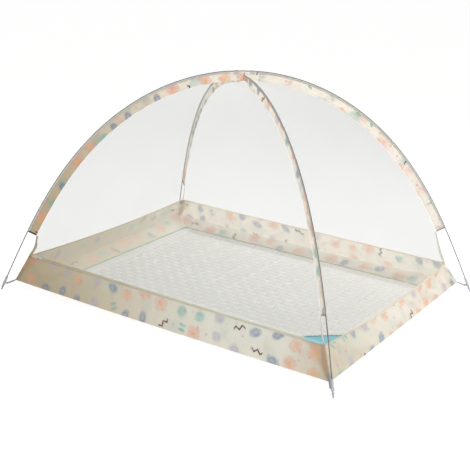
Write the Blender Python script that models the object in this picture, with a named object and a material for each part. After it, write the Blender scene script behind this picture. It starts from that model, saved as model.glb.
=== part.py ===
"""Mosquito net tent: two crossed rods spring from four feet and hold up printed sleeves, four net
panels and a shallow fabric tray with a quilted floor pad. The front net panel is a zipped door.
Metres, +Z up, the ground at z = 0, the front towards -Y. Each object is one physical piece."""

import math

import bmesh
import bpy
from mathutils import Matrix, Vector

# The fabric base: its outline at the bottom edge, and how the walls stand on it
BASE_LENGTH = 2.0
BASE_WIDTH = 1.5
EDGE_HEIGHT = 0.06
HEM_HEIGHT = 0.2
HEM_INSET = 0.064
EDGE_SAG = 0.01
EDGE_BOW = 0.006
HEM_SAG_ROWS = 5
HEM_SAG = {"front": 0.0, "right": 0.032, "back": 0.002, "left": 0.02}
# How much lower than the front ones the hem's two back corners are
BACK_LEFT_DROP = 0.012
BACK_RIGHT_DROP = 0.028
CLOTH = 0.0012

# The two bent rods: the upper one from the front left to the back right, and the lower one
CROWN_HEIGHT = 1.243
LOWER_CROWN_DROP = 0.024
ROD_BEYOND_CORNER = 0.052
LOWER_ROD_BEYOND_CORNER = 0.0237
END_TILT_DEGREES = 65.4
LOWER_END_TILT_DEGREES = 73.3
ROD_RADIUS = 0.00275
ROD_PARTS = 30
ROD_SIDES = 8
MARCH_STEPS = 3000
MIN_PART = 0.15
ROD_IN_SOCKET = 0.02

# Sleeves, the tapes that hold the rods, and the crown
SLEEVE_DEPTH = 0.052
SLEEVE_CLOTH = 0.0016
SLEEVE_END_HEIGHTS = {"front_left": 0.344, "front_right": 0.344, "back_right": 0.384, "back_left": 0.318}
END_BINDING_WIDTH = 0.009
END_BINDING_CLOTH = 0.0024
CROWN_REACH = 0.078
CROWN_PATCH_REACH = 0.072
CROWN_NOTCH = 0.0055
TUCK_REACH = 0.16
CHANNEL_TAPE = 0.0006
CHANNEL_GRIP = 0.006
FIT = 0.0004
SEAM_GAP = 0.0008
CROWN_CLOTH = 0.003
CROWN_LOOP_GRIP = 0.012
CROWN_LOOP_FROM = 0.03
CROWN_LOOP_TO = 0.055
# The half outline of a tape folded over a rod, as shares of its radius: across and downwards
FOLD_SHARES = ((0.45, -1.0), (0.93, -0.38), (1.0, 0.3))

# The net panels
NET = 0.0008
NET_COLUMNS = 10
NET_ROWS = 24
NET_DRAW = 0.014
NET_TOP_REACH = 0.014
NET_DEPTH_GAP = 0.0007
NET_SIDE_GAP = 0.0012
DOOR_SIDE_GAP = 0.0018
DOOR_AXIS_ABOVE = 0.011
WAIST_INSET = 0.115
WAIST_HEIGHT = 0.254

# Hem, corner gussets, the border turned under and the floor
HEM_TAPE_HEIGHT = 0.007
HEM_TAPE = 0.002
GUSSET_WIDTH = 0.028
GUSSET_FOLD = 0.0043
WALL_COLUMNS = 14
WALL_ROWS = 3
PIPING_RADIUS = 0.0025
PIPING_SIDES = 6
PIPING_SCALE = 0.873
PIPING_HEIGHT = 0.02
FLOOR_FLAT_SCALE = 0.8
FLOOR = 0.0015
MITRE_GAP = 0.0012

# The quilted pad
# The pad's insets run from the floor's rim
PAD_LEFT_INSET = 0.01
PAD_RIGHT_INSET = 0.05
PAD_FRONT_INSET = 0.152
PAD_BACK_INSET = 0.007
PAD_CUT_INSET = 0.572
PAD_THICKNESS = 0.014
PAD_EDGE = 0.006
PAD_ROLL = 0.02
PAD_GAP = 0.001
PAD_COLUMNS = 14
PAD_ROWS = 10

# The zip along the front hem
ZIP_INSET = 0.17
LOWER_CHAIN_INSET = 0.1
ZIP_TAPE_HEIGHT = 0.01
CHAIN_HEIGHT = 0.002
CHAIN_DEPTH = 0.0016
SLIDER_INSET = 0.138
SLIDER_LENGTH = 0.013
SLIDER_HEIGHT = 0.01
SLIDER_PLATE = 0.0018
BRIDGE_WIDTH = 0.003
BRIDGE_HALF_LENGTH = 0.0029
BRIDGE_OPENING = 0.0024
BRIDGE_WIRE = 0.0009
PULL_LENGTH = 0.026
PULL_WIDTH = 0.0072
PULL_THICKNESS = 0.0012
PULL_PIN = 0.0006
PULL_EYE = 0.0058
PULL_ARM = 0.0014

# Feet and corner straps
SOCKET_RADIUS = 0.0068
SOCKET_ABOVE_CHORD = 0.022
SOCKET_CHAMFER = 0.001
HUB_RADIUS = 0.0085
HUB_FROM = 0.012
HUB_TO = 0.03
NECK_RADIUS = 0.0045
NECK_RING_RADIUS = 0.0078
NECK_RING_FROM = 0.04
NECK_RING_TO = 0.044
TIP_RADIUS = 0.005
FOOT_SIDES = 16
LUG_INNER = 0.004
LUG_REACH = 0.02
LUG_BAR = 0.0035
LUG_SLOT = 0.006
LUG_HALF_WIDTH = 0.01
LUG_SIDE = 0.003
LUG_HALF_THICKNESS = 0.002
LUG_BELOW_CHORD = 0.021
STRAP_WIDTH = 0.012
STRAP = 0.0012
STRAP_CLEARANCE = 0.0016
STRAP_START_GAP = 0.0007

HALF_LENGTH = BASE_LENGTH / 2
HALF_WIDTH = BASE_WIDTH / 2
HALF_DIAGONAL = math.hypot(HALF_LENGTH, HALF_WIDTH)
HEM_SCALE = 1 - HEM_INSET / HALF_LENGTH
# Half the floor sheet's length and width, at its rim and where it starts to rise
RIM_HALVES = [half * PIPING_SCALE - PIPING_RADIUS - FIT for half in (HALF_LENGTH, HALF_WIDTH)]
FLAT_HALVES = [half * FLOOR_FLAT_SCALE for half in (HALF_LENGTH, HALF_WIDTH)]
PAD_LEFT = PAD_LEFT_INSET - RIM_HALVES[0]
PAD_RIGHT = RIM_HALVES[0] - PAD_RIGHT_INSET
PAD_FRONT = PAD_FRONT_INSET - RIM_HALVES[1]
PAD_BACK = RIM_HALVES[1] - PAD_BACK_INSET
PAD_CUT = sum(RIM_HALVES) - PAD_CUT_INSET

# Each corner: its signs in X and Y, and whether its rod passes over the other one at the crown
CORNERS = {
    "front_left": (-1, -1, True),
    "front_right": (1, -1, False),
    "back_right": (1, 1, True),
    "back_left": (-1, 1, False),
}
# Each side: the corners at its two ends, going round the tent
SIDES = {
    "front": ("front_left", "front_right"),
    "right": ("front_right", "back_right"),
    "back": ("back_right", "back_left"),
    "left": ("back_left", "front_left"),
}

# Base colour, roughness and metallic of each kind of piece
FINISHES = {
    "rod": ((0.16, 0.16, 0.17), 0.4, 0.0),
    "channel": ((0.24, 0.24, 0.24), 0.8, 0.0),
    "print": ((0.78, 0.72, 0.6), 0.85, 0.0),
    "binding": ((0.12, 0.1, 0.1), 0.85, 0.0),
    "crown": ((0.85, 0.81, 0.7), 0.85, 0.0),
    "net": ((0.84, 0.87, 0.82), 0.8, 0.0),
    "hem": ((0.8, 0.76, 0.55), 0.8, 0.0),
    "gusset": ((0.75, 0.5, 0.28), 0.85, 0.0),
    "piping": ((0.62, 0.66, 0.18), 0.7, 0.0),
    "floor": ((0.18, 0.52, 0.52), 0.7, 0.0),
    "pad": ((0.8, 0.8, 0.78), 0.9, 0.0),
    "foot": ((0.62, 0.62, 0.67), 0.45, 0.0),
    "strap": ((0.28, 0.29, 0.2), 0.85, 0.0),
    "chain": ((0.8, 0.78, 0.7), 0.5, 0.0),
    "metal": ((0.6, 0.6, 0.6), 0.35, 1.0),
}


def clear_scene():
    for obj in list(bpy.data.objects):
        bpy.data.objects.remove(obj, do_unlink=True)


def material(name, finish):
    colour, roughness, metallic = FINISHES[finish]
    made = bpy.data.materials.new(name)
    made.use_nodes = True
    shader = made.node_tree.nodes["Principled BSDF"]
    shader.inputs["Base Color"].default_value = (*colour, 1)
    shader.inputs["Roughness"].default_value = roughness
    shader.inputs["Metallic"].default_value = metallic
    return made


def piece(name, points, faces, finish, smooth=False, helper=False):
    """One object from points and faces, its faces turned outwards."""
    mesh = bpy.data.meshes.new(name)
    mesh.from_pydata([tuple(p) for p in points], [], faces)
    shape = bmesh.new()
    shape.from_mesh(mesh)
    bmesh.ops.recalc_face_normals(shape, faces=shape.faces)
    for face in shape.faces:
        face.smooth = smooth
    shape.to_mesh(mesh)
    shape.free()
    obj = bpy.data.objects.new(name, mesh)
    bpy.context.scene.collection.objects.link(obj)
    mesh.materials.append(material(name, finish))
    if helper:
        obj.hide_render = True
        obj.display_type = "WIRE"
    return obj


def loft(name, rings, finish, smooth=False, closed=False, helper=False):
    """A solid through rings of equally many points: capped at both ends, or closed into a loop."""
    size = len(rings[0])
    points = [p for ring in rings for p in ring]
    faces = []
    for i in range(len(rings) if closed else len(rings) - 1):
        a = i * size
        b = (i + 1) % len(rings) * size
        for j in range(size):
            k = (j + 1) % size
            faces.append((a + j, a + k, b + k, b + j))
    if not closed:
        faces.append(tuple(range(size)))
        faces.append(tuple(range(len(points) - size, len(points))))
    return piece(name, points, faces, finish, smooth, helper)


def sheet(name, rows, thickness, finish, smooth=False):
    """A cloth piece through a grid of points, given its thickness on both sides of them."""
    columns = len(rows[0])
    points = [p for row in rows for p in row]
    faces = []
    for i in range(len(rows) - 1):
        for j in range(columns - 1):
            a = i * columns + j
            faces.append((a, a + 1, a + columns + 1, a + columns))
    obj = piece(name, points, faces, finish, smooth)
    solidify = obj.modifiers.new("Thickness", "SOLIDIFY")
    solidify.thickness = thickness
    solidify.offset = 0
    solidify.use_even_offset = True
    return obj


def make_arch(crown_height, half_span, end_tilt):
    """Places (reach from the centre, height) from the chord to the crown along half of a rod bent
    as an elastic strip bends: its curvature grows evenly with the height above the chord."""
    rise = crown_height - EDGE_HEIGHT
    tilt = math.radians(end_tilt)
    curving = 2 * (1 - math.cos(tilt)) / rise**2
    step = rise / MARCH_STEPS
    path = [(0.0, 0.0)]
    while tilt > 0:
        across, height = path[-1]
        middle_tilt = tilt - curving * height * step / 2
        middle_height = height + math.sin(tilt) * step / 2
        path.append((across + math.cos(middle_tilt) * step, height + math.sin(middle_tilt) * step))
        tilt -= curving * middle_height * step
    last = len(path) - 1
    widen = half_span / path[last][0]
    raise_by = rise / path[last][1]
    stations = [path[round(i * last / ROD_PARTS)] for i in range(ROD_PARTS + 1)]
    return [(half_span - s * widen, EDGE_HEIGHT + z * raise_by) for s, z in stations]


UPPER_ARCH = make_arch(CROWN_HEIGHT, HALF_DIAGONAL + ROD_BEYOND_CORNER, END_TILT_DEGREES)
LOWER_ARCH = make_arch(
    CROWN_HEIGHT - LOWER_CROWN_DROP, HALF_DIAGONAL + LOWER_ROD_BEYOND_CORNER, LOWER_END_TILT_DEGREES
)


def arch_of(corner):
    return UPPER_ARCH if CORNERS[corner][2] else LOWER_ARCH


def sleeve_depth(corner, reach):
    """How deep a sleeve hangs from its rod. The lower rod's sleeves narrow near the crown, so that
    their edges meet the edges of the upper rod's sleeves there."""
    if CORNERS[corner][2]:
        return SLEEVE_DEPTH
    return SLEEVE_DEPTH - LOWER_CROWN_DROP * max(0.0, 1 - reach / TUCK_REACH) ** 2


def station_run(arch, i):
    """The unit direction towards the crown at station i: the mean of the two parts that meet there."""
    if i == ROD_PARTS:
        return Vector((-1, 0))
    after = (Vector(arch[i + 1]) - Vector(arch[i])).normalized()
    before = (Vector(arch[i]) - Vector(arch[i - 1])).normalized() if i else after
    return (after + before).normalized()


def along(arch, t):
    """The point at place t (0 the chord, ROD_PARTS the crown) and the direction towards the crown."""
    i = min(int(t), ROD_PARTS - 1)
    point = Vector(arch[i]).lerp(Vector(arch[i + 1]), t - i)
    run = station_run(arch, i).lerp(station_run(arch, i + 1), t - i)
    return point, run.normalized()


def place_at_height(arch, height):
    for i in range(ROD_PARTS):
        if arch[i][1] <= height <= arch[i + 1][1]:
            return i + (height - arch[i][1]) / (arch[i + 1][1] - arch[i][1])
    raise ValueError("no such height on the arch")


def place_at_reach(arch, reach):
    for i in range(ROD_PARTS):
        if arch[i][0] >= reach >= arch[i + 1][0]:
            return i + (arch[i][0] - reach) / (arch[i][0] - arch[i + 1][0])
    raise ValueError("no such reach on the arch")


def places_between(start, end):
    inner = range(math.ceil(start + MIN_PART), math.floor(end - MIN_PART) + 1)
    return [start] + [float(i) for i in inner] + [end]


def inward(run):
    """The direction in the arch's plane from the rod towards the inside of the tent."""
    return Vector((-run.y, run.x))


def in_world(corner, reach, height, across=0.0):
    """A point of the corner's arch plane, moved across it towards the next side anticlockwise."""
    sign_x, sign_y, _ = CORNERS[corner]
    ahead = Vector((sign_x * HALF_LENGTH, sign_y * HALF_WIDTH)) / HALF_DIAGONAL
    side = Vector((-ahead.y, ahead.x))
    flat = ahead * reach + side * across
    return Vector((flat.x, flat.y, height))


def sweep(name, corner, places, profile_at, finish, smooth=False):
    """The profile of (across, depth below the rod's centre) points that profile_at gives for a reach,
    carried along the corner's arch."""
    arch = arch_of(corner)
    rings = []
    for t in places:
        point, run = along(arch, t)
        down = inward(run)
        ring = []
        for across, depth in profile_at(point.x):
            spot = point + down * depth
            ring.append(in_world(corner, spot.x, spot.y, across))
        rings.append(ring)
    return loft(name, rings, finish, smooth)


def rod(name, first, second):
    """One rod from the socket of one foot over the crown to the socket of the foot opposite."""
    arch = arch_of(first)
    foot, run = along(arch, 0.0)
    start = foot - run * ROD_IN_SOCKET
    line = [(first, start, run)]
    line += [(first, *along(arch, float(i))) for i in range(1, ROD_PARTS + 1)]
    line += [(second, *along(arch, float(i))) for i in range(ROD_PARTS - 1, 0, -1)]
    line += [(second, start, run)]
    rings = []
    for corner, point, direction in line:
        flip = 1 if corner == first else -1
        down = inward(direction)
        ring = []
        for k in range(ROD_SIDES):
            turn = 2 * math.pi * k / ROD_SIDES
            spot = point + down * ROD_RADIUS * math.cos(turn)
            ring.append(in_world(corner, spot.x, spot.y, flip * ROD_RADIUS * math.sin(turn)))
        rings.append(ring)
    return loft(name, rings, "rod", smooth=True)


def fold_profile(cloth, grip):
    """A tape folded over the rod, its two legs gripping a cloth's upper edge to the depth of grip."""
    inner = ROD_RADIUS + FIT
    outer = inner + CHANNEL_TAPE
    leg = cloth / 2 + FIT
    low = inner + grip
    right = [(outer * x, outer * y) for x, y in FOLD_SHARES]
    right += [(leg + CHANNEL_TAPE, outer), (leg + CHANNEL_TAPE, low), (leg, low), (leg, inner)]
    right += [(inner * x, inner * y) for x, y in reversed(FOLD_SHARES)]
    return right + [(-x, y) for x, y in reversed(right)]


def sleeve_ends(corner):
    arch = arch_of(corner)
    return place_at_height(arch, SLEEVE_END_HEIGHTS[corner]), place_at_reach(arch, CROWN_REACH)


def strip_profile(half_width, top, bottom):
    return [(-half_width, top), (half_width, top), (half_width, bottom), (-half_width, bottom)]


def sleeve_and_channel(corner):
    arch = arch_of(corner)
    start, end = sleeve_ends(corner)
    part_length = (Vector(arch[1]) - Vector(arch[0])).length
    bound = END_BINDING_WIDTH / part_length
    gap = SEAM_GAP / part_length
    top = ROD_RADIUS + 2 * FIT
    places = places_between(start + bound + gap, end)
    fold = fold_profile(SLEEVE_CLOTH, CHANNEL_GRIP)
    sweep(f"rod_channel_{corner}", corner, places, lambda reach: fold, "channel")

    def printed(reach):
        return strip_profile(SLEEVE_CLOTH / 2, top, sleeve_depth(corner, reach))

    sweep(f"sleeve_{corner}", corner, places, printed, "print")
    bound_edge = strip_profile(END_BINDING_CLOTH / 2, top, SLEEVE_DEPTH)
    sweep(f"sleeve_end_{corner}", corner, [start, start + bound], lambda reach: bound_edge, "binding")


def crown_arms(name, corner, outline, helper=False):
    """A strip of the crown's cloth through the crown, from its side outline in the corner's plane."""
    rings = []
    for across in (-CROWN_CLOTH / 2, CROWN_CLOTH / 2):
        rings.append([in_world(corner, reach, height, across) for reach, height in outline])
    return loft(name, rings, "crown", helper=helper)


def crown():
    """The cross of plain cloth at the crown, notched where the lower rod passes through it, and the
    loops that hang it from the rods."""
    reach = CROWN_PATCH_REACH
    tops = []
    for arch in (UPPER_ARCH, LOWER_ARCH):
        tops.append(along(arch, place_at_reach(arch, reach))[0].y - ROD_RADIUS - FIT)
    top, notch = tops
    bottom = CROWN_HEIGHT - SLEEVE_DEPTH
    low = notch + ROD_RADIUS + FIT - sleeve_depth("front_right", reach)
    outline = [(-reach, bottom), (reach, bottom), (reach, top), (CROWN_NOTCH, top)]
    outline += [(CROWN_NOTCH, notch), (-CROWN_NOTCH, notch), (-CROWN_NOTCH, top), (-reach, top)]
    patch = crown_arms("crown_patch", "front_left", outline)
    outline = [(-reach, low), (-reach / 2, bottom), (reach / 2, bottom), (reach, low)]
    outline += [(reach, notch), (-reach, notch)]
    join(patch, crown_arms("crown_lower_arms", "front_right", outline, helper=True))
    fold = fold_profile(CROWN_CLOTH, CROWN_LOOP_GRIP)
    for name in CORNERS:
        arch = arch_of(name)
        places = [place_at_reach(arch, CROWN_LOOP_TO), place_at_reach(arch, CROWN_LOOP_FROM)]
        sweep(f"crown_loop_{name}", name, places, lambda reach: fold, "channel")


def side_point(side, share, scale, height, plane_gap=0.0, end_gap=0.0):
    """A point on a side of the base outline shrunk by scale, share running from -1 to 1 along it. The
    ends keep plane_gap from the arch planes at the corners and end_gap, measured along the side."""
    first, second = (CORNERS[c] for c in SIDES[side])
    a = Vector((first[0] * HALF_LENGTH, first[1] * HALF_WIDTH)) * scale
    b = Vector((second[0] * HALF_LENGTH, second[1] * HALF_WIDTH)) * scale
    run = (b - a).normalized()
    sine = (HALF_WIDTH if abs(run.x) > abs(run.y) else HALF_LENGTH) / HALF_DIAGONAL
    spot = (a + b) / 2 + (b - a) / 2 * share - run * share * (plane_gap / sine + end_gap)
    return Vector((spot.x, spot.y, height))


def shares(count):
    return [-1 + 2 * i / count for i in range(count + 1)]


def slack(side, spot):
    """How far a point is from the corners along its side: 1 at the middle of the side, 0 at its ends."""
    if side in ("front", "back"):
        return max(0.0, 1 - (spot.x / (HALF_LENGTH * HEM_SCALE)) ** 2)
    return max(0.0, 1 - (spot.y / (HALF_WIDTH * HEM_SCALE)) ** 2)


def hem_drop(spot):
    """How much lower the hem is at a place than at the front, from the drops of its back corners."""
    right = min(1.0, max(0.0, (1 + spot.x / (HALF_LENGTH * HEM_SCALE)) / 2))
    back = min(1.0, max(0.0, (1 + spot.y / (HALF_WIDTH * HEM_SCALE)) / 2))
    return back * (BACK_RIGHT_DROP * right + BACK_LEFT_DROP * (1 - right))


def wall_scale(height):
    """The scale of the outline at a height on the walls' lean."""
    return 1 - HEM_INSET / HALF_LENGTH * (height - EDGE_HEIGHT) / (HEM_HEIGHT - EDGE_HEIGHT)


def outward(side):
    middle = side_point(side, 0.0, 1.0, 0.0)
    return middle.normalized()


def net_edge(corner, bottom):
    """(reach, height) places of a net panel's edge, from its bottom at the corner up to the crown."""
    arch = arch_of(corner)
    start, _ = sleeve_ends(corner)
    end = place_at_reach(arch, NET_TOP_REACH)
    hem = wall_scale(bottom) * HALF_DIAGONAL
    edge = [(hem, bottom - hem_drop(in_world(corner, hem, bottom)))]
    edge.append((HALF_DIAGONAL - WAIST_INSET, WAIST_HEIGHT))
    for i in range(NET_ROWS - 1):
        point, run = along(arch, start + (end - start) * i / (NET_ROWS - 2))
        spot = point + inward(run) * (sleeve_depth(corner, point.x) + NET_DEPTH_GAP)
        edge.append((max(spot.x, NET_TOP_REACH), spot.y))
    return edge


def net_panel(name, side, side_gap, bottom):
    first, second = (net_edge(c, bottom) for c in SIDES[side])
    rows = []
    for i in range(len(first)):
        drawn = NET_DRAW * math.sin(math.pi * i / NET_ROWS)
        hung = HEM_SAG[side] * max(0.0, 1 - i / HEM_SAG_ROWS)
        row = []
        for share in shares(NET_COLUMNS):
            mix = (1 + share) / 2
            reach = first[i][0] * (1 - mix) + second[i][0] * mix
            height = first[i][1] * (1 - mix) + second[i][1] * mix
            spot = side_point(side, share, reach / HALF_DIAGONAL, height, side_gap)
            spot.z -= hung * slack(side, spot)
            row.append(spot - outward(side) * drawn * (1 - share**2))
        rows.append(row)
    return sheet(name, rows, NET, "net", smooth=True)


def wall(side):
    """The printed upright strip of one side, between the corner gussets."""
    top = HEM_HEIGHT - HEM_TAPE_HEIGHT / 2 - SEAM_GAP
    rows = []
    for i in range(WALL_ROWS + 1):
        rise = i / WALL_ROWS
        height = EDGE_HEIGHT + (top - EDGE_HEIGHT) * rise
        row = []
        for share in shares(WALL_COLUMNS):
            spot = side_point(side, share, wall_scale(height), height, 0.0, GUSSET_WIDTH)
            loose = slack(side, spot)
            spot.z -= (EDGE_SAG * (1 - rise) + HEM_SAG[side] * rise) * loose + hem_drop(spot) * rise
            row.append(spot - outward(side) * EDGE_BOW * loose * (1 - rise))
        rows.append(row)
    return sheet(f"wall_{side}", rows, CLOTH, "print")


def hem(side):
    rows = []
    for height in (HEM_HEIGHT - HEM_TAPE_HEIGHT / 2, HEM_HEIGHT + HEM_TAPE_HEIGHT / 2):
        row = []
        for share in shares(WALL_COLUMNS):
            spot = side_point(side, share, wall_scale(height), height, MITRE_GAP)
            spot.z -= HEM_SAG[side] * slack(side, spot) + hem_drop(spot)
            row.append(spot)
        rows.append(row)
    return sheet(f"hem_tape_{side}", rows, HEM_TAPE, "hem")


def gusset(corner):
    """The upright strip folded round a corner between two walls."""
    sign_x, sign_y, _ = CORNERS[corner]
    along_x = "front" if sign_y < 0 else "back"
    along_y = "left" if sign_x < 0 else "right"
    width = GUSSET_WIDTH - SEAM_GAP
    top = HEM_HEIGHT - HEM_TAPE_HEIGHT / 2 - SEAM_GAP
    rows = []
    for height in (EDGE_HEIGHT, (EDGE_HEIGHT + top) / 2, top):
        scale = wall_scale(height)
        row = []
        for back_x, back_y in ((width, 0.0), (GUSSET_FOLD, 0.0), (0.0, GUSSET_FOLD), (0.0, width)):
            x = sign_x * (HALF_LENGTH * scale - back_x)
            y = sign_y * (HALF_WIDTH * scale - back_y)
            spot = Vector((x, y, height))
            side = along_x if back_x else along_y
            lowered = HEM_SAG[side] * slack(side, spot) + hem_drop(spot)
            spot.z -= lowered * (height - EDGE_HEIGHT) / (top - EDGE_HEIGHT)
            row.append(spot)
        rows.append(row)
    return sheet(f"corner_gusset_{corner}", rows, CLOTH, "gusset")


def side_reach(side):
    """How far a side's bottom edge is from the tent's middle."""
    return HALF_WIDTH if side in ("front", "back") else HALF_LENGTH


def border(side):
    """The printed cloth turned under from the bottom edge down to the floor's piping."""
    outer = 1 - SEAM_GAP / side_reach(side)
    inner = PIPING_SCALE + (PIPING_RADIUS + FIT) / side_reach(side)
    rows = []
    for part in (0.0, 0.5, 1.0):
        scale = outer + (inner - outer) * part
        row = []
        for share in shares(WALL_COLUMNS):
            start = EDGE_HEIGHT - CLOTH
            height = start + (PIPING_HEIGHT + CLOTH - start) * part
            spot = side_point(side, share, scale, height, MITRE_GAP)
            loose = slack(side, spot) * (1 - part)
            spot.z -= EDGE_SAG * loose
            row.append(spot - outward(side) * EDGE_BOW * loose)
        rows.append(row)
    return sheet(f"floor_border_{side}", rows, CLOTH, "print")


def piping(side):
    rings = []
    for share in (-1, 1):
        ring = []
        for k in range(PIPING_SIDES):
            turn = 2 * math.pi * (k + 0.5) / PIPING_SIDES
            scale = PIPING_SCALE + PIPING_RADIUS * math.cos(turn) / side_reach(side)
            height = PIPING_HEIGHT + PIPING_RADIUS * math.sin(turn)
            ring.append(side_point(side, share, scale, height, MITRE_GAP))
        rings.append(ring)
    return loft(f"floor_piping_{side}", rings, "piping", smooth=True)


def floor_sheet():
    """The coated floor: flat on the ground, its rim rising to the piping."""
    levels = [(RIM_HALVES, PIPING_HEIGHT - FLOOR), (FLAT_HALVES, 0.0)]
    corners = [(-1, -1), (1, -1), (1, 1), (-1, 1)]
    points = []
    for lift in (0.0, FLOOR):
        for (half_x, half_y), height in levels:
            for sign_x, sign_y in corners:
                points.append((sign_x * half_x, sign_y * half_y, height + lift))
    faces = [(4, 5, 6, 7), (12, 13, 14, 15)]
    for i in range(4):
        j = (i + 1) % 4
        faces += [(i, j, 4 + j, 4 + i), (8 + i, 8 + j, 12 + j, 12 + i), (i, j, 8 + j, 8 + i)]
    return piece("floor_sheet", points, faces, "floor")


def floor_top(x, y):
    """The height of the floor sheet's upper face, which is flat and then rises towards its rim."""
    rise = 0.0
    for reach, flat, rim in zip((abs(x), abs(y)), FLAT_HALVES, RIM_HALVES):
        rise = max(rise, (reach - flat) / (rim - flat))
    return FLOOR + rise * (PIPING_HEIGHT - FLOOR)


def pad():
    """The quilted pad: a soft slab that rides up the floor's rim, with one corner turned under."""
    roll = [0.0, PAD_ROLL]
    depth = PAD_BACK - PAD_FRONT
    ys = [PAD_FRONT + y for y in roll]
    ys += [PAD_FRONT + PAD_ROLL + (depth - 2 * PAD_ROLL) * i / PAD_ROWS for i in range(1, PAD_ROWS)]
    ys += [PAD_BACK - y for y in reversed(roll)]
    rows = []
    for y in ys:
        right = min(PAD_RIGHT, y + PAD_CUT)
        width = right - PAD_LEFT - 2 * PAD_ROLL
        inner = [PAD_LEFT + PAD_ROLL + width * i / PAD_COLUMNS for i in range(PAD_COLUMNS + 1)]
        xs = [PAD_LEFT, *inner, right]
        rows.append([(x, y) for x in xs])
    columns = len(rows[0])
    low, high = [], []
    for i, row in enumerate(rows):
        for j, (x, y) in enumerate(row):
            rim = i in (0, len(rows) - 1) or j in (0, columns - 1)
            base = floor_top(x, y) + PAD_GAP
            low.append((x, y, base))
            high.append((x, y, base + (PAD_EDGE if rim else PAD_THICKNESS)))
    count = len(low)
    faces = []
    for i in range(len(rows) - 1):
        for j in range(columns - 1):
            a = i * columns + j
            quad = (a, a + 1, a + columns + 1, a + columns)
            faces.append(quad)
            faces.append(tuple(count + k for k in quad))
    rim = list(range(columns))
    rim += [i * columns + columns - 1 for i in range(1, len(rows))]
    rim += [count - columns + j for j in range(columns - 2, -1, -1)]
    rim += [i * columns for i in range(len(rows) - 2, 0, -1)]
    for k, a in enumerate(rim):
        b = rim[(k + 1) % len(rim)]
        faces.append((a, b, count + b, count + a))
    return piece("quilted_pad", low + high, faces, "pad", smooth=True)


def slotted_plate(name, outer, inner, place, finish, helper=False):
    """A flat plate with one slot. outer and inner are (start, end, half width); place(along, across,
    face) gives the point on the lower (-1) or upper (1) face."""
    rims = []
    for start, end, half in (outer, inner):
        rims.append([(start, -half), (end, -half), (end, half), (start, half)])
    rings = []
    for edge, slot in zip(*rims):
        rings.append([place(*edge, -1), place(*edge, 1), place(*slot, 1), place(*slot, -1)])
    return loft(name, rings, finish, closed=True, helper=helper)


def set_origin(obj, origin):
    """Moves an object's origin to a point in the world, its shape staying where it is."""
    obj.data.transform(Matrix.Translation(-origin))
    obj.location = origin


def join(obj, other):
    union = obj.modifiers.new(other.name, "BOOLEAN")
    union.operation = "UNION"
    union.solver = "EXACT"
    union.object = other


def foot(corner):
    """A foot turned about the rod's own axis, with a lug for the corner strap."""
    arch = arch_of(corner)
    chord, run = along(arch, 0.0)
    tip = (EDGE_HEIGHT - TIP_RADIUS) / run.y
    bore = ROD_RADIUS + FIT
    floor = -ROD_IN_SOCKET - FIT
    top = SOCKET_ABOVE_CHORD
    profile = [(bore, floor), (bore, top), (SOCKET_RADIUS - SOCKET_CHAMFER, top)]
    profile += [(SOCKET_RADIUS, top - SOCKET_CHAMFER), (SOCKET_RADIUS, -HUB_FROM + SOCKET_CHAMFER)]
    profile += [(HUB_RADIUS, -HUB_FROM - SOCKET_CHAMFER), (HUB_RADIUS, -HUB_TO)]
    profile += [(NECK_RADIUS, -HUB_TO - 2 * SOCKET_CHAMFER), (NECK_RADIUS, -NECK_RING_FROM)]
    profile += [(NECK_RING_RADIUS, -NECK_RING_FROM), (NECK_RING_RADIUS, -NECK_RING_TO)]
    profile += [(TIP_RADIUS, -NECK_RING_TO), (TIP_RADIUS, -tip)]
    for turn in (math.pi / 6, math.pi / 3):
        profile.append((TIP_RADIUS * math.cos(turn), -tip - TIP_RADIUS * math.sin(turn)))
    down = inward(run)
    rings = []
    for radius, shift in profile:
        ring = []
        for k in range(FOOT_SIDES):
            turn = 2 * math.pi * k / FOOT_SIDES
            spot = chord + run * shift + down * radius * math.cos(turn)
            ring.append(in_world(corner, spot.x, spot.y, radius * math.sin(turn)))
        rings.append(ring)
    obj = loft(f"foot_{corner}", rings, "foot")
    centre = chord - run * LUG_BELOW_CHORD

    def place(reach, across, face):
        return in_world(corner, centre.x - reach, centre.y + LUG_HALF_THICKNESS * face, across)

    outer = (LUG_INNER, LUG_REACH, LUG_HALF_WIDTH)
    slot = (LUG_REACH - LUG_BAR - LUG_SLOT, LUG_REACH - LUG_BAR, LUG_HALF_WIDTH - LUG_SIDE)
    join(obj, slotted_plate(f"lug_{corner}", outer, slot, place, "foot", helper=True))
    return obj


def strap(corner):
    """Webbing looped round the lug's bar and sewn to the fabric's bottom corner."""
    arch = arch_of(corner)
    chord, run = along(arch, 0.0)
    centre = chord - run * LUG_BELOW_CHORD
    bar = Vector((centre.x - LUG_REACH + LUG_BAR / 2, centre.y))
    wide = LUG_BAR / 2 + STRAP_CLEARANCE
    high = LUG_HALF_THICKNESS + STRAP_CLEARANCE
    fold = HALF_DIAGONAL * (1 - GUSSET_FOLD / (HALF_LENGTH + HALF_WIDTH))
    start = Vector((fold + CLOTH / 2 + STRAP_START_GAP, EDGE_HEIGHT - CLOTH))
    path = [start - Vector((0, STRAP_CLEARANCE)), bar + Vector((-wide, -high))]
    path += [bar + Vector((wide * 0.7, -high))]
    path += [bar + Vector((wide, -high * 0.6)), bar + Vector((wide, high * 0.6))]
    path += [bar + Vector((wide * 0.7, high)), bar + Vector((-wide, high))]
    path += [start + Vector((0, STRAP_CLEARANCE))]
    rows = []
    for spot in path:
        rows.append([in_world(corner, spot.x, spot.y, side * STRAP_WIDTH / 2) for side in (-1, 0, 1)])
    return sheet(f"corner_strap_{corner}", rows, STRAP, "strap")


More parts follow.
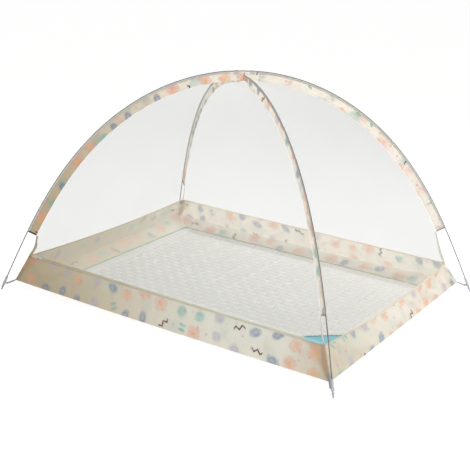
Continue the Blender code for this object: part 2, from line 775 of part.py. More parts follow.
def zip_frame(x):
    """The zip's frame at x: its origin on the hem tape's upper edge, then the directions along the
    hem, out of the cloth, and up it along its lean."""
    lean = math.atan2(HEM_INSET * HALF_WIDTH / HALF_LENGTH, HEM_HEIGHT - EDGE_HEIGHT)
    up = Vector((0, math.sin(lean), math.cos(lean)))
    out = Vector((0, -math.cos(lean), math.sin(lean)))
    height = HEM_HEIGHT + HEM_TAPE_HEIGHT / 2
    origin = Vector((x, -HALF_WIDTH * wall_scale(height), height))
    return origin, Vector((1, 0, 0)), out, up


def block(name, frame, low, high, finish):
    """A box between two corners given in a frame."""
    origin, *axes = frame
    rings = []
    for x in (low[0], high[0]):
        corners = ((low[1], low[2]), (high[1], low[2]), (high[1], high[2]), (low[1], high[2]))
        rings.append([origin + axes[0] * x + axes[1] * y + axes[2] * z for y, z in corners])
    return loft(name, rings, finish)


def chain_front():
    """How far the chain's front stands out of the middle of the hem tape."""
    return HEM_TAPE / 2 + FIT + CHAIN_DEPTH


def zip_pieces():
    frame = zip_frame(0.0)
    half = HALF_LENGTH - ZIP_INSET
    gap = FIT / 2
    chain_back = HEM_TAPE / 2 + FIT
    front = chain_front()
    long = HALF_LENGTH - LOWER_CHAIN_INSET
    block("zip_chain_lower", frame, (-long, chain_back, -CHAIN_HEIGHT - gap), (long, front, -gap), "chain")
    tape = block("door_zip_tape", frame, (-half, -NET / 2, SEAM_GAP), (half, NET, ZIP_TAPE_HEIGHT), "hem")
    low = (-half, NET + FIT, gap)
    chain = block("zip_chain_upper", frame, low, (half, front, gap + CHAIN_HEIGHT), "chain")
    return tape, chain


def slider():
    """The slider in front of the chain with a bridge on it, and the pull hung in the bridge."""
    frame = zip_frame(SLIDER_INSET - HALF_LENGTH)
    origin, x_axis, out, up = frame
    back = chain_front() + FIT
    front = back + SLIDER_PLATE
    half = SLIDER_LENGTH / 2
    high = SLIDER_HEIGHT / 2
    body = block("zip_slider", frame, (-half, back, -high), (half, front, high), "metal")
    reach = BRIDGE_HALF_LENGTH
    root = front - SLIDER_PLATE / 2
    top = front + BRIDGE_OPENING
    outline = [(-reach, root), (-reach, top + BRIDGE_WIRE), (reach, top + BRIDGE_WIRE), (reach, root)]
    outline += [(reach - BRIDGE_WIRE, root), (reach - BRIDGE_WIRE, top)]
    outline += [(BRIDGE_WIRE - reach, top), (BRIDGE_WIRE - reach, root)]
    rings = []
    for z in (-BRIDGE_WIDTH / 2, BRIDGE_WIDTH / 2):
        rings.append([origin + x_axis * x + out * y + up * z for x, y in outline])
    set_origin(body, origin)
    join(body, loft("bridge", rings, "metal", helper=True))
    pin = front + BRIDGE_OPENING / 2

    def place(reach, across, face):
        return origin - x_axis * reach + up * across + out * (pin + face * PULL_THICKNESS / 2)

    outer = (-PULL_PIN, PULL_LENGTH, PULL_WIDTH / 2)
    pull = slotted_plate("zip_pull", outer, (PULL_PIN, PULL_EYE, PULL_WIDTH / 2 - PULL_ARM), place, "metal")
    set_origin(pull, origin + out * pin)


def build():
    clear_scene()
    rod("arch_rod_upper", "front_left", "back_right")
    rod("arch_rod_lower", "front_right", "back_left")
    for corner in CORNERS:
        sleeve_and_channel(corner)
        gusset(corner)
        foot(corner)
        strap(corner)
    crown()
    seam = HEM_HEIGHT + HEM_TAPE_HEIGHT / 2 + SEAM_GAP
    door = net_panel("net_door_front", "front", DOOR_SIDE_GAP, seam + ZIP_TAPE_HEIGHT + SEAM_GAP)
    for obj in (door, *zip_pieces()):
        set_origin(obj, Vector((0, 0, CROWN_HEIGHT + DOOR_AXIS_ABOVE)))
    for side in ("right", "back", "left"):
        net_panel(f"net_{side}", side, NET_SIDE_GAP, seam)
    for side in SIDES:
        wall(side)
        hem(side)
        border(side)
        piping(side)
    floor_sheet()
    pad()
    slider()


build()
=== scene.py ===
"""Mosquito net tent: the looks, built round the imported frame. Metres, +Z up, the front towards -Y.
Each operator makes one piece or one group of like pieces; the panel lists them in their order."""

import math

import bpy
from bpy.props import FloatProperty, FloatVectorProperty, PointerProperty
from mathutils import Matrix, Vector, noise


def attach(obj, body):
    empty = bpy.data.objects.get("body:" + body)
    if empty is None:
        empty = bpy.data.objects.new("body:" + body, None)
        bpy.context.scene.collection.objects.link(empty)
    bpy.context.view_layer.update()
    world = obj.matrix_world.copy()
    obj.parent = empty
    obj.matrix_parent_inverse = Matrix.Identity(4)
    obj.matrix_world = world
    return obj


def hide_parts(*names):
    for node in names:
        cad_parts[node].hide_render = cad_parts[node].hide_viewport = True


bl_info = {
    "name": "Mosquito net tent",
    "version": (1, 0, 0),
    "blender": (4, 5, 0),
    "location": "3D View > Sidebar > Net tent",
    "description": "Dresses the packed frame of a mosquito net tent",
    "category": "Object",
}

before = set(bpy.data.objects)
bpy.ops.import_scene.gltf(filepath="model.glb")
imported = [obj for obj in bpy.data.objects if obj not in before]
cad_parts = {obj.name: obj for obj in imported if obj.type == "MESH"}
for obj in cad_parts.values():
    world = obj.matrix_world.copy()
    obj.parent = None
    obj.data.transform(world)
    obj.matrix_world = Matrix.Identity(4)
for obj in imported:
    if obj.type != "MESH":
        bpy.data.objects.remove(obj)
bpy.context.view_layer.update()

# The tent's own sizes, the same as in the part's source
HALF_LENGTH = 1.0
HALF_WIDTH = 0.75
HALF_DIAGONAL = math.hypot(HALF_LENGTH, HALF_WIDTH)
EDGE_HEIGHT = 0.06
HEM_HEIGHT = 0.2
HEM_INSET = 0.064
HEM_SCALE = 1 - HEM_INSET / HALF_LENGTH
EDGE_SAG = 0.01
EDGE_BOW = 0.006
HEM_SAG_REACH = 5 / 24
HEM_SAG = {"front": 0.0, "right": 0.032, "back": 0.002, "left": 0.02}
BACK_LEFT_DROP = 0.012
BACK_RIGHT_DROP = 0.028
CLOTH = 0.0012
CROWN_HEIGHT = 1.243
LOWER_CROWN_DROP = 0.024
TUCK_REACH = 0.16
ROD_RADIUS = 0.00275
ROD_PARTS = 30
MARCH_STEPS = 3000
SLEEVE_DEPTH = 0.052
SLEEVE_CLOTH = 0.0016
SLEEVE_END_HEIGHTS = {"front_left": 0.344, "front_right": 0.344, "back_right": 0.384, "back_left": 0.318}
END_BINDING = 0.009
CROWN_REACH = 0.078
PATCH_REACH = 0.072
CROWN_NOTCH = 0.0055
PATCH_CLOTH = 0.003
LOOP_FROM = 0.03
LOOP_TO = 0.055
CHANNEL_TAPE = 0.0006
# How far down the dark of the tape goes on the upper pole and on the lower one
TAPE_FOLD = {True: -0.0012, False: -0.0032}
FIT = 0.0004
SEAM = 0.0008
NET_THICKNESS = 0.0008
NET_DRAW = 0.014
NET_TOP_REACH = 0.014
NET_DEPTH_GAP = 0.0007
NET_SIDE_GAP = 0.0012
DOOR_SIDE_GAP = 0.0018
WAIST_REACH = 1.135
WAIST_HEIGHT = 0.254
HEM_TAPE_HEIGHT = 0.007
HEM_TAPE = 0.002
WALL_TOP = HEM_HEIGHT - HEM_TAPE_HEIGHT / 2 - SEAM
GUSSET_WIDTH = 0.028
GUSSET_FOLD = 0.0043
PIPING_RADIUS = 0.0025
PIPING_SCALE = 0.873
PIPING_HEIGHT = 0.02
FLOOR = 0.0015
MITRE_GAP = 0.0012
RIM = [half * PIPING_SCALE - PIPING_RADIUS - FIT for half in (HALF_LENGTH, HALF_WIDTH)]
FLAT = [half * 0.8 for half in (HALF_LENGTH, HALF_WIDTH)]
PAD_LEFT, PAD_RIGHT = 0.01 - RIM[0], RIM[0] - 0.05
PAD_FRONT, PAD_BACK = 0.152 - RIM[1], RIM[1] - 0.007
PAD_CUT = sum(RIM) - 0.572
CUT_HOLLOW = 0.034
PAD_THICKNESS = 0.014
PAD_GAP = 0.001
QUILT_DEPTH = 0.005
ZIP_HALF = 0.83
LOWER_CHAIN_HALF = 0.9
ZIP_TAPE_HEIGHT = 0.01
CHAIN_DEPTH = 0.0016
TEETH_PITCH = 0.003
LUG_REACH = 0.02
LUG_BAR = 0.0035
LUG_HALF_THICKNESS = 0.002
LUG_BELOW_CHORD = 0.021
STRAP_WIDTH = 0.012
STRAP = 0.0012
STRAP_CLEARANCE = 0.0016
SMOOTH_ANGLE = 50
STITCH_PITCH = 0.0035
DOWN = Vector((0, 0, -1))
LONG_SIDES = ("front", "back")
LENS_LENGTH = 72.54
CAMERA_PLACE = (2.74176, -4.13742, 2.06350)
LAMP_SPREAD = 120
SKY_STRENGTH = 0.375
FLOOR_GLOW = 0.88
# Half the thickness and the top of a bound sleeve end, and how far its lower edge is rounded off
END_HALF = 0.0012
END_TOP = 0.0036
END_ROUNDED = (0.0008, 0.0514)

CORNERS = {
    "front_left": (-1, -1, True),
    "front_right": (1, -1, False),
    "back_right": (1, 1, True),
    "back_left": (-1, 1, False),
}
SIDES = {
    "front": ("front_left", "front_right"),
    "right": ("front_right", "back_right"),
    "back": ("back_right", "back_left"),
    "left": ("back_left", "front_left"),
}


def tint(red, green, blue):
    """A colour as a paint chart gives it, from 0 to 255, as the light it sends back."""
    values = [v / 255 for v in (red, green, blue)]
    return tuple(v / 12.92 if v <= 0.04045 else ((v + 0.055) / 1.055) ** 2.4 for v in values)


def colour_choice(name, description, default):
    return FloatVectorProperty(
        name=name, description=description, subtype="COLOR", size=3, min=0, max=1, default=tint(*default)
    )


class TentColours(bpy.types.PropertyGroup):
    """The tent's colours."""

    ground: colour_choice("Printed ground", "Ground of the printed cotton", (248, 245, 239))
    petal: colour_choice("Petals", "Petals of the large printed flowers", (244, 208, 188))
    heart: colour_choice("Flower hearts", "Hearts of the large printed flowers", (246, 206, 140))
    core: colour_choice("Oval cores", "Darker ring in the printed ovals", (128, 138, 168))
    oval: colour_choice("Ovals", "Printed blue-grey ovals", (168, 182, 206))
    lavender: colour_choice("Lavender", "Printed lavender spots", (214, 206, 220))
    ring: colour_choice("Rings", "Printed rose rings", (240, 188, 182))
    twig: colour_choice("Twigs", "Printed dark twigs", (108, 44, 42))
    leaf: colour_choice("Leaves", "Printed green leaves", (172, 210, 204))
    stitch: colour_choice("Stitches", "Stitches along the pale tapes", (240, 235, 222))
    net: colour_choice("Net", "The net's threads", (190, 193, 186))
    hem: colour_choice("Hem tape", "Tape along the hems", (247, 241, 226))
    # The warm colour of the painted shade in the folds at the wall ends and on the corner strips
    gusset: colour_choice("Corner strips", "The warm half of the corner strips", (224, 198, 164))
    # A tan colour painted as shade towards the front left corner and the near corner
    print_wash_and_painted_shade: colour_choice("Wash", "Warm wash of the cotton towards the front left corner", (206, 190, 158))
    piping: colour_choice("Piping", "Piping round the floor", (220, 220, 178))
    floor: colour_choice("Floor", "Coated floor cloth", (132, 196, 212))
    pad: colour_choice("Pad", "Quilted pad", (238, 238, 236))
    channel: colour_choice("Pole tape", "Tape that is folded over the poles", (76, 74, 76))
    # The dark colour of the left sleeves' end binding is painted shade
    painted_shade_end: colour_choice("Cool sleeve end", "Binding at the end of the left sleeves", (66, 76, 74))
    end_warm: colour_choice("Warm sleeve end", "Binding at the end of the right sleeves", (212, 172, 158))
    rod: colour_choice("Poles", "Glass fibre poles", (122, 120, 124))
    foot: colour_choice("Feet", "Moulded feet", (200, 199, 209))
    strap: colour_choice("Straps", "Webbing at the corners", (190, 188, 172))
    chain: colour_choice("Zip teeth", "Teeth of the zip", (236, 232, 214))
    metal: colour_choice("Zip metal", "Slider and pull", (188, 188, 190))


class TentSizes(bpy.types.PropertyGroup):
    """Sizes of the tent's patterns and threads."""

    motif: FloatProperty(
        name="Motif spacing", description="From one printed motif to the next",
        default=0.112, min=0.02, max=0.5, unit="LENGTH",
    )
    quilt: FloatProperty(
        name="Quilt block", description="Side of one block of the pad's pattern",
        default=0.042, min=0.005, max=0.2, unit="LENGTH",
    )
    mesh: FloatProperty(
        name="Net mesh", description="Width of one mesh of the net",
        default=0.0022, min=0.0005, max=0.02, unit="LENGTH",
    )
    cover: FloatProperty(
        name="Net cover", description="Share of the net that its threads cover",
        default=0.21, min=0.02, max=1.0, subtype="FACTOR",
    )
    crease: FloatProperty(
        name="Creases", description="How far the walls' creases stand out",
        default=0.0055, min=0.0, max=0.02, unit="LENGTH",
    )


# Shape


def make_arch(crown_height, half_span, end_tilt):
    """Places (reach from the centre, height) from the feet to the crown along half of a bent pole."""
    rise = crown_height - EDGE_HEIGHT
    tilt = math.radians(end_tilt)
    curving = 2 * (1 - math.cos(tilt)) / rise**2
    step = rise / MARCH_STEPS
    path = [(0.0, 0.0)]
    while tilt > 0:
        across, height = path[-1]
        middle_tilt = tilt - curving * height * step / 2
        middle_height = height + math.sin(tilt) * step / 2
        path.append((across + math.cos(middle_tilt) * step, height + math.sin(middle_tilt) * step))
        tilt -= curving * middle_height * step
    last = len(path) - 1
    widen = half_span / path[last][0]
    raise_by = rise / path[last][1]
    stations = [path[round(i * last / ROD_PARTS)] for i in range(ROD_PARTS + 1)]
    return [(half_span - s * widen, EDGE_HEIGHT + z * raise_by) for s, z in stations]


UPPER_ARCH = make_arch(CROWN_HEIGHT, HALF_DIAGONAL + 0.052, 65.4)
LOWER_ARCH = make_arch(CROWN_HEIGHT - LOWER_CROWN_DROP, HALF_DIAGONAL + 0.0237, 73.3)


def arch_of(corner):
    return UPPER_ARCH if CORNERS[corner][2] else LOWER_ARCH


def sleeve_depth(corner, reach):
    """How deep a sleeve hangs: the lower pole's sleeves narrow near the crown."""
    if CORNERS[corner][2]:
        return SLEEVE_DEPTH
    return SLEEVE_DEPTH - LOWER_CROWN_DROP * max(0.0, 1 - reach / TUCK_REACH) ** 2


def station_run(arch, i):
    if i == ROD_PARTS:
        return Vector((-1, 0))
    after = (Vector(arch[i + 1]) - Vector(arch[i])).normalized()
    before = (Vector(arch[i]) - Vector(arch[i - 1])).normalized() if i else after
    return (after + before).normalized()


def along(arch, t):
    """The point at place t (0 the foot, ROD_PARTS the crown) and the direction towards the crown."""
    i = min(int(t), ROD_PARTS - 1)
    point = Vector(arch[i]).lerp(Vector(arch[i + 1]), t - i)
    run = station_run(arch, i).lerp(station_run(arch, i + 1), t - i)
    return point, run.normalized()


def place_at_height(arch, height):
    for i in range(ROD_PARTS):
        if arch[i][1] <= height <= arch[i + 1][1]:
            return i + (height - arch[i][1]) / (arch[i + 1][1] - arch[i][1])
    raise ValueError("no such height on the arch")


def place_at_reach(arch, reach):
    for i in range(ROD_PARTS):
        if arch[i][0] >= reach >= arch[i + 1][0]:
            return i + (arch[i][0] - reach) / (arch[i][0] - arch[i + 1][0])
    raise ValueError("no such reach on the arch")


def inward(run):
    return Vector((-run.y, run.x))


def in_world(corner, reach, height, across=0.0):
    """A point of the corner's arch plane, moved across it towards the next side anticlockwise."""
    sign_x, sign_y, _ = CORNERS[corner]
    ahead = Vector((sign_x * HALF_LENGTH, sign_y * HALF_WIDTH)) / HALF_DIAGONAL
    flat = ahead * reach + Vector((-ahead.y, ahead.x)) * across
    return Vector((flat.x, flat.y, height))


def sleeve_ends(corner):
    arch = arch_of(corner)
    return place_at_height(arch, SLEEVE_END_HEIGHTS[corner]), place_at_reach(arch, CROWN_REACH)


def part_length(corner):
    arch = arch_of(corner)
    return (Vector(arch[1]) - Vector(arch[0])).length


def places_between(start, end, parts):
    """Places along an arch, the stations among them, so that a piece follows the pole's own bends."""
    wanted = {start, end} | {float(i) for i in range(math.ceil(start + 0.1), math.floor(end - 0.1) + 1)}
    stations = sorted(wanted)
    places = []
    for a, b in zip(stations, stations[1:]):
        places += [a + (b - a) * k / parts for k in range(parts)]
    return places + [end]


def side_point(side, share, scale, height, plane_gap=0.0, end_gap=0.0):
    """A point on a side of the base outline shrunk by scale, share running from -1 to 1 along it."""
    first, second = (CORNERS[c] for c in SIDES[side])
    a = Vector((first[0] * HALF_LENGTH, first[1] * HALF_WIDTH)) * scale
    b = Vector((second[0] * HALF_LENGTH, second[1] * HALF_WIDTH)) * scale
    run = (b - a).normalized()
    sine = (HALF_WIDTH if abs(run.x) > abs(run.y) else HALF_LENGTH) / HALF_DIAGONAL
    spot = (a + b) / 2 + (b - a) / 2 * share - run * share * (plane_gap / sine + end_gap)
    return Vector((spot.x, spot.y, height))


def shares(count):
    return [-1 + 2 * i / count for i in range(count + 1)]


def slack(side, spot):
    """How far a point is from the corners along its side: 1 at the side's middle, 0 at its ends."""
    if side in LONG_SIDES:
        return max(0.0, 1 - (spot.x / (HALF_LENGTH * HEM_SCALE)) ** 2)
    return max(0.0, 1 - (spot.y / (HALF_WIDTH * HEM_SCALE)) ** 2)


def hem_drop(spot):
    """How much lower the hem is at a place than at the front."""
    right = min(1.0, max(0.0, (1 + spot.x / (HALF_LENGTH * HEM_SCALE)) / 2))
    back = min(1.0, max(0.0, (1 + spot.y / (HALF_WIDTH * HEM_SCALE)) / 2))
    return back * (BACK_RIGHT_DROP * right + BACK_LEFT_DROP * (1 - right))


def wall_scale(height):
    return 1 - HEM_INSET / HALF_LENGTH * (height - EDGE_HEIGHT) / (HEM_HEIGHT - EDGE_HEIGHT)


def outward(side):
    return side_point(side, 0.0, 1.0, 0.0).normalized()


def waver(a, b, seed):
    """A smooth uneven wave from about -1 to 1, the same on every run."""
    return 1.8 * noise.noise(Vector((a, b, 7.31 * seed)))


def floor_top(x, y):
    rise = 0.0
    for reach, flat, rim in zip((abs(x), abs(y)), FLAT, RIM):
        rise = max(rise, (reach - flat) / (rim - flat))
    return FLOOR + rise * (PIPING_HEIGHT - FLOOR)


def cloth_places(rows, start=(0.0, 0.0)):
    """Each point's place on the flat cloth: from the middle of its row, and up the middle column."""
    middle = len(rows[0]) // 2
    places, up = [], start[1]
    for i, row in enumerate(rows):
        if i:
            up += (row[middle] - rows[i - 1][middle]).length
        gone = [0.0]
        for a, b in zip(row, row[1:]):
            gone.append(gone[-1] + (b - a).length)
        places.append([(start[0] + g - gone[middle], up) for g in gone])
    return places


def cut_size(rows):
    """The flat width, length and area of the cloth that a grid of points is made of."""
    width = max(sum((b - a).length for a, b in zip(row, row[1:])) for row in rows)
    length = max(sum((b - a).length for a, b in zip(c, c[1:])) for c in zip(*rows))
    area = 0.0
    for low, high in zip(rows, rows[1:]):
        for j in range(len(low) - 1):
            area += (low[j + 1] - low[j]).cross(high[j] - low[j]).length / 2
            area += (high[j] - high[j + 1]).cross(low[j + 1] - high[j + 1]).length / 2
    return width, length, min(area, width * length)


def clear_choice():
    """Deselects everything, because an operator acts on all that is selected."""
    if bpy.context.object and bpy.context.object.mode != "OBJECT":
        bpy.ops.object.mode_set(mode="OBJECT")
    bpy.ops.object.select_all(action="DESELECT")


def choose(obj):
    clear_choice()
    obj.select_set(True)
    bpy.context.view_layer.objects.active = obj


def apply_all(obj):
    choose(obj)
    for modifier in list(obj.modifiers):
        bpy.ops.object.modifier_apply(modifier=modifier.name)


def new_piece(name, points, faces, uvs=None):
    """An object from points and faces, with a UV map named cloth from each point's place on it."""
    mesh = bpy.data.meshes.new(name)
    mesh.from_pydata([tuple(p) for p in points], [], faces)
    if uvs:
        layer = mesh.uv_layers.new(name="cloth")
        for loop in mesh.loops:
            layer.data[loop.index].uv = uvs[loop.vertex_index]
    obj = bpy.data.objects.new(name, mesh)
    bpy.context.scene.collection.objects.link(obj)
    return obj


def cloth_sheet(name, rows, start=(0.0, 0.0), thickness=0.0, facing=None):
    """A sheet through a grid of points. Its face looks away from the tent's middle, or along facing."""
    columns = len(rows[0])
    faces = []
    for i in range(len(rows) - 1):
        for j in range(columns - 1):
            a = i * columns + j
            faces.append((a, a + 1, a + columns + 1, a + columns))
    middle, across = len(rows) // 2, columns // 2
    spot = rows[middle][across]
    normal = (rows[middle][across] - rows[middle][across - 1]).cross(spot - rows[middle - 1][across])
    if normal.dot(facing or spot - Vector((0, 0, 0.4))) < 0:
        faces = [tuple(reversed(face)) for face in faces]
    points = [p for row in rows for p in row]
    uvs = [place for row in cloth_places(rows, start) for place in row]
    obj = new_piece(name, points, faces, uvs)
    if thickness:
        solid = obj.modifiers.new("Thickness", "SOLIDIFY")
        solid.thickness = thickness
        solid.offset = 0
        apply_all(obj)
    smooth(obj, SMOOTH_ANGLE)
    return obj


def smooth(obj, angle):
    choose(obj)
    bpy.ops.object.shade_smooth_by_angle(angle=math.radians(angle))


def turn_outwards(obj, merge=0.0):
    """Turns all faces outwards, after merging the points that are closer than merge."""
    choose(obj)
    bpy.ops.object.mode_set(mode="EDIT")
    bpy.ops.mesh.select_all(action="SELECT")
    if merge:
        bpy.ops.mesh.remove_doubles(threshold=merge)
    bpy.ops.mesh.normals_make_consistent(inside=False)
    bpy.ops.object.mode_set(mode="OBJECT")


def tube(name, rings, angle, around=None):
    """A closed shape through rings of equally many points, with its cloth places round and along it.
    around gives the places round it where they aren't the lengths round the ring."""
    size = len(rings[0])
    points, uvs, faces = [], [], []
    gone = 0.0
    for i, ring in enumerate(rings):
        if i:
            gone += sum((a - b).length for a, b in zip(ring, rings[i - 1])) / size
        closed = list(ring) + [ring[0]]
        about = 0.0
        for k, p in enumerate(closed):
            if k:
                about += (p - closed[k - 1]).length
            points.append(p)
            uvs.append((around[k % size] if around else about, gone))
    stride = size + 1
    for i in range(len(rings) - 1):
        for j in range(size):
            a = i * stride + j
            faces.append((a, a + 1, a + stride + 1, a + stride))
    faces.append(tuple(reversed(range(size))))
    last = (len(rings) - 1) * stride
    faces.append(tuple(range(last, last + size)))
    obj = new_piece(name, points, faces, uvs)
    turn_outwards(obj, merge=0.00001)
    smooth(obj, angle)
    return obj


def sweep(name, corner, places, profile, angle=40):
    """A profile of (across, depth below the pole's centre) points carried along the corner's arch.
    Its cloth places are the depth and the length along the arch."""
    rings = []
    for t in places:
        point, run = along(arch_of(corner), t)
        spots = [(across, point + inward(run) * depth) for across, depth in profile]
        rings.append([in_world(corner, spot.x, spot.y, across) for across, spot in spots])
    return tube(name, rings, angle, around=[depth for _, depth in profile])


def finish_node(name, material):
    """Gives a CAD node a better material."""
    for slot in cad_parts[name].material_slots:
        slot.material = material


def finish_piece(obj, material, body, slot, *nodes):
    """Gives a piece its material and body, and hides the CAD nodes that it stands for. slot is not used."""
    obj.data.materials.clear()
    obj.data.materials.append(material)
    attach(obj, body)
    if nodes:
        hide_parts(*nodes)


# Materials


class Recipe:
    """A material's nodes, added one after another."""

    def __init__(self, name, library=None):
        """library is bpy.data.worlds where the nodes are the world's."""
        self.material = (bpy.data.materials if library is None else library).new(name)
        self.material.use_nodes = True
        self.tree = self.material.node_tree
        self.tree.nodes.clear()

    def add(self, kind, inputs=None, **settings):
        node = self.tree.nodes.new(kind)
        for key, value in settings.items():
            setattr(node, key, value)
        for key, value in (inputs or {}).items():
            if isinstance(value, bpy.types.NodeSocket):
                self.tree.links.new(value, node.inputs[key])
            else:
                node.inputs[key].default_value = value
        return node

    def sum(self, operation, first, second=0.0):
        return self.add("ShaderNodeMath", {0: first, 1: second}, operation=operation).outputs[0]

    def plus(self, first, second):
        return self.sum("ADD", first, second)

    def less(self, first, second):
        return self.sum("SUBTRACT", first, second)

    def times(self, first, second):
        return self.sum("MULTIPLY", first, second)

    def cloth(self):
        """The place on the flat cloth, in metres."""
        return self.add("ShaderNodeUVMap", uv_map="cloth").outputs["UV"]

    def place(self, scale=(1.0, 1.0, 1.0)):
        """The place in the tent, in metres times scale."""
        spot = self.add("ShaderNodeTexCoord").outputs["Object"]
        return self.add("ShaderNodeMapping", {"Vector": spot, "Scale": scale}).outputs[0]

    def parts(self, vector):
        return self.add("ShaderNodeSeparateXYZ", {0: vector}).outputs

    def noise(self, vector, scale, detail=2.0, roughness=0.5):
        inputs = {"Vector": vector, "Scale": scale, "Detail": detail, "Roughness": roughness}
        return self.add("ShaderNodeTexNoise", inputs).outputs["Fac"]

    def between(self, value, low, high, start=0.0, end=1.0, smooth=True):
        """value's way from low to high, as a number from start to end."""
        inputs = {"Value": value, "From Min": low, "From Max": high, "To Min": start, "To Max": end}
        kind = "SMOOTHSTEP" if smooth else "LINEAR"
        return self.add("ShaderNodeMapRange", inputs, interpolation_type=kind).outputs[0]

    def blend(self, share, first, second, mode="MIX"):
        node = self.add("ShaderNodeMix", data_type="RGBA", blend_type=mode)
        for socket, value in zip((node.inputs[0], node.inputs[6], node.inputs[7]), (share, first, second)):
            if isinstance(value, bpy.types.NodeSocket):
                self.tree.links.new(value, socket)
            elif isinstance(value, (int, float)):
                socket.default_value = value
            else:
                socket.default_value = (*value[:3], 1.0)
        return node.outputs[2]

    def shade(self, colour, factor_low, factor_high, share):
        """The colour times a grey that runs from factor_low to factor_high with share."""
        grey = self.between(share, 0.0, 1.0, factor_low, factor_high, smooth=False)
        node = self.add("ShaderNodeCombineColor", {0: grey, 1: grey, 2: grey})
        return self.blend(1.0, colour, node.outputs[0], "MULTIPLY")

    def bump(self, height, distance, strength=1.0, normal=None):
        inputs = {"Height": height, "Distance": distance, "Strength": strength}
        if normal is not None:
            inputs["Normal"] = normal
        return self.add("ShaderNodeBump", inputs).outputs[0]

    def ripple(self, way, pitch, low=-1.0, high=1.0):
        """A wave that comes back after every pitch of way, from 0 where it is low to 1 where it is high."""
        return self.between(self.sum("SINE", self.times(way, 2 * math.pi / pitch)), low, high)

    def straight(self):
        """1 for what the camera sees, in a mirror and through glass too, and 0 for all other light."""
        seen = self.add("ShaderNodeLightPath").outputs
        share = self.sum("MAXIMUM", seen["Is Camera Ray"], seen["Is Glossy Ray"])
        return self.sum("MAXIMUM", share, seen["Is Transmission Ray"])

    def mix(self, share, first, second):
        """One shader and a share of another."""
        return self.add("ShaderNodeMixShader", {0: share, 1: first, 2: second}).outputs[0]

    def output(self, shader, kind="ShaderNodeOutputMaterial"):
        self.add(kind, {"Surface": shader})
        return self.material

    def weave(self, place, pitch):
        """The height of a plain weave whose threads are pitch apart."""
        x, y, _ = self.parts(place)
        turn = 2 * math.pi / pitch
        waves = [self.sum("SINE", self.times(v, turn)) for v in (x, y)]
        product = self.times(*waves)
        return self.between(product, -1.0, 1.0, smooth=False)

    def surface(self, colour, roughness, normal=None, metallic=0.0, sheen=0.0, through=0.0):
        """The surface and the output. through is the share of light that the cloth lets through."""
        inputs = {"Base Color": colour, "Roughness": roughness, "Metallic": metallic}
        inputs["Sheen Weight"] = sheen
        inputs["Sheen Roughness"] = 0.6
        if normal is not None:
            inputs["Normal"] = normal
        shader = self.add("ShaderNodeBsdfPrincipled", inputs).outputs[0]
        if through:
            back = self.add("ShaderNodeBsdfTranslucent", {"Color": colour}).outputs[0]
            shader = self.mix(through, shader, back)
        return self.output(shader)


def colours():
    return bpy.context.scene.net_tent_colours


def sizes():
    return bpy.context.scene.net_tent_sizes


def made_once(build):
    """Makes each material the first time that it is asked for."""
    kept = {}

    def give(*words):
        if words not in kept:
            kept[words] = build(*words)
        return kept[words]

    return give


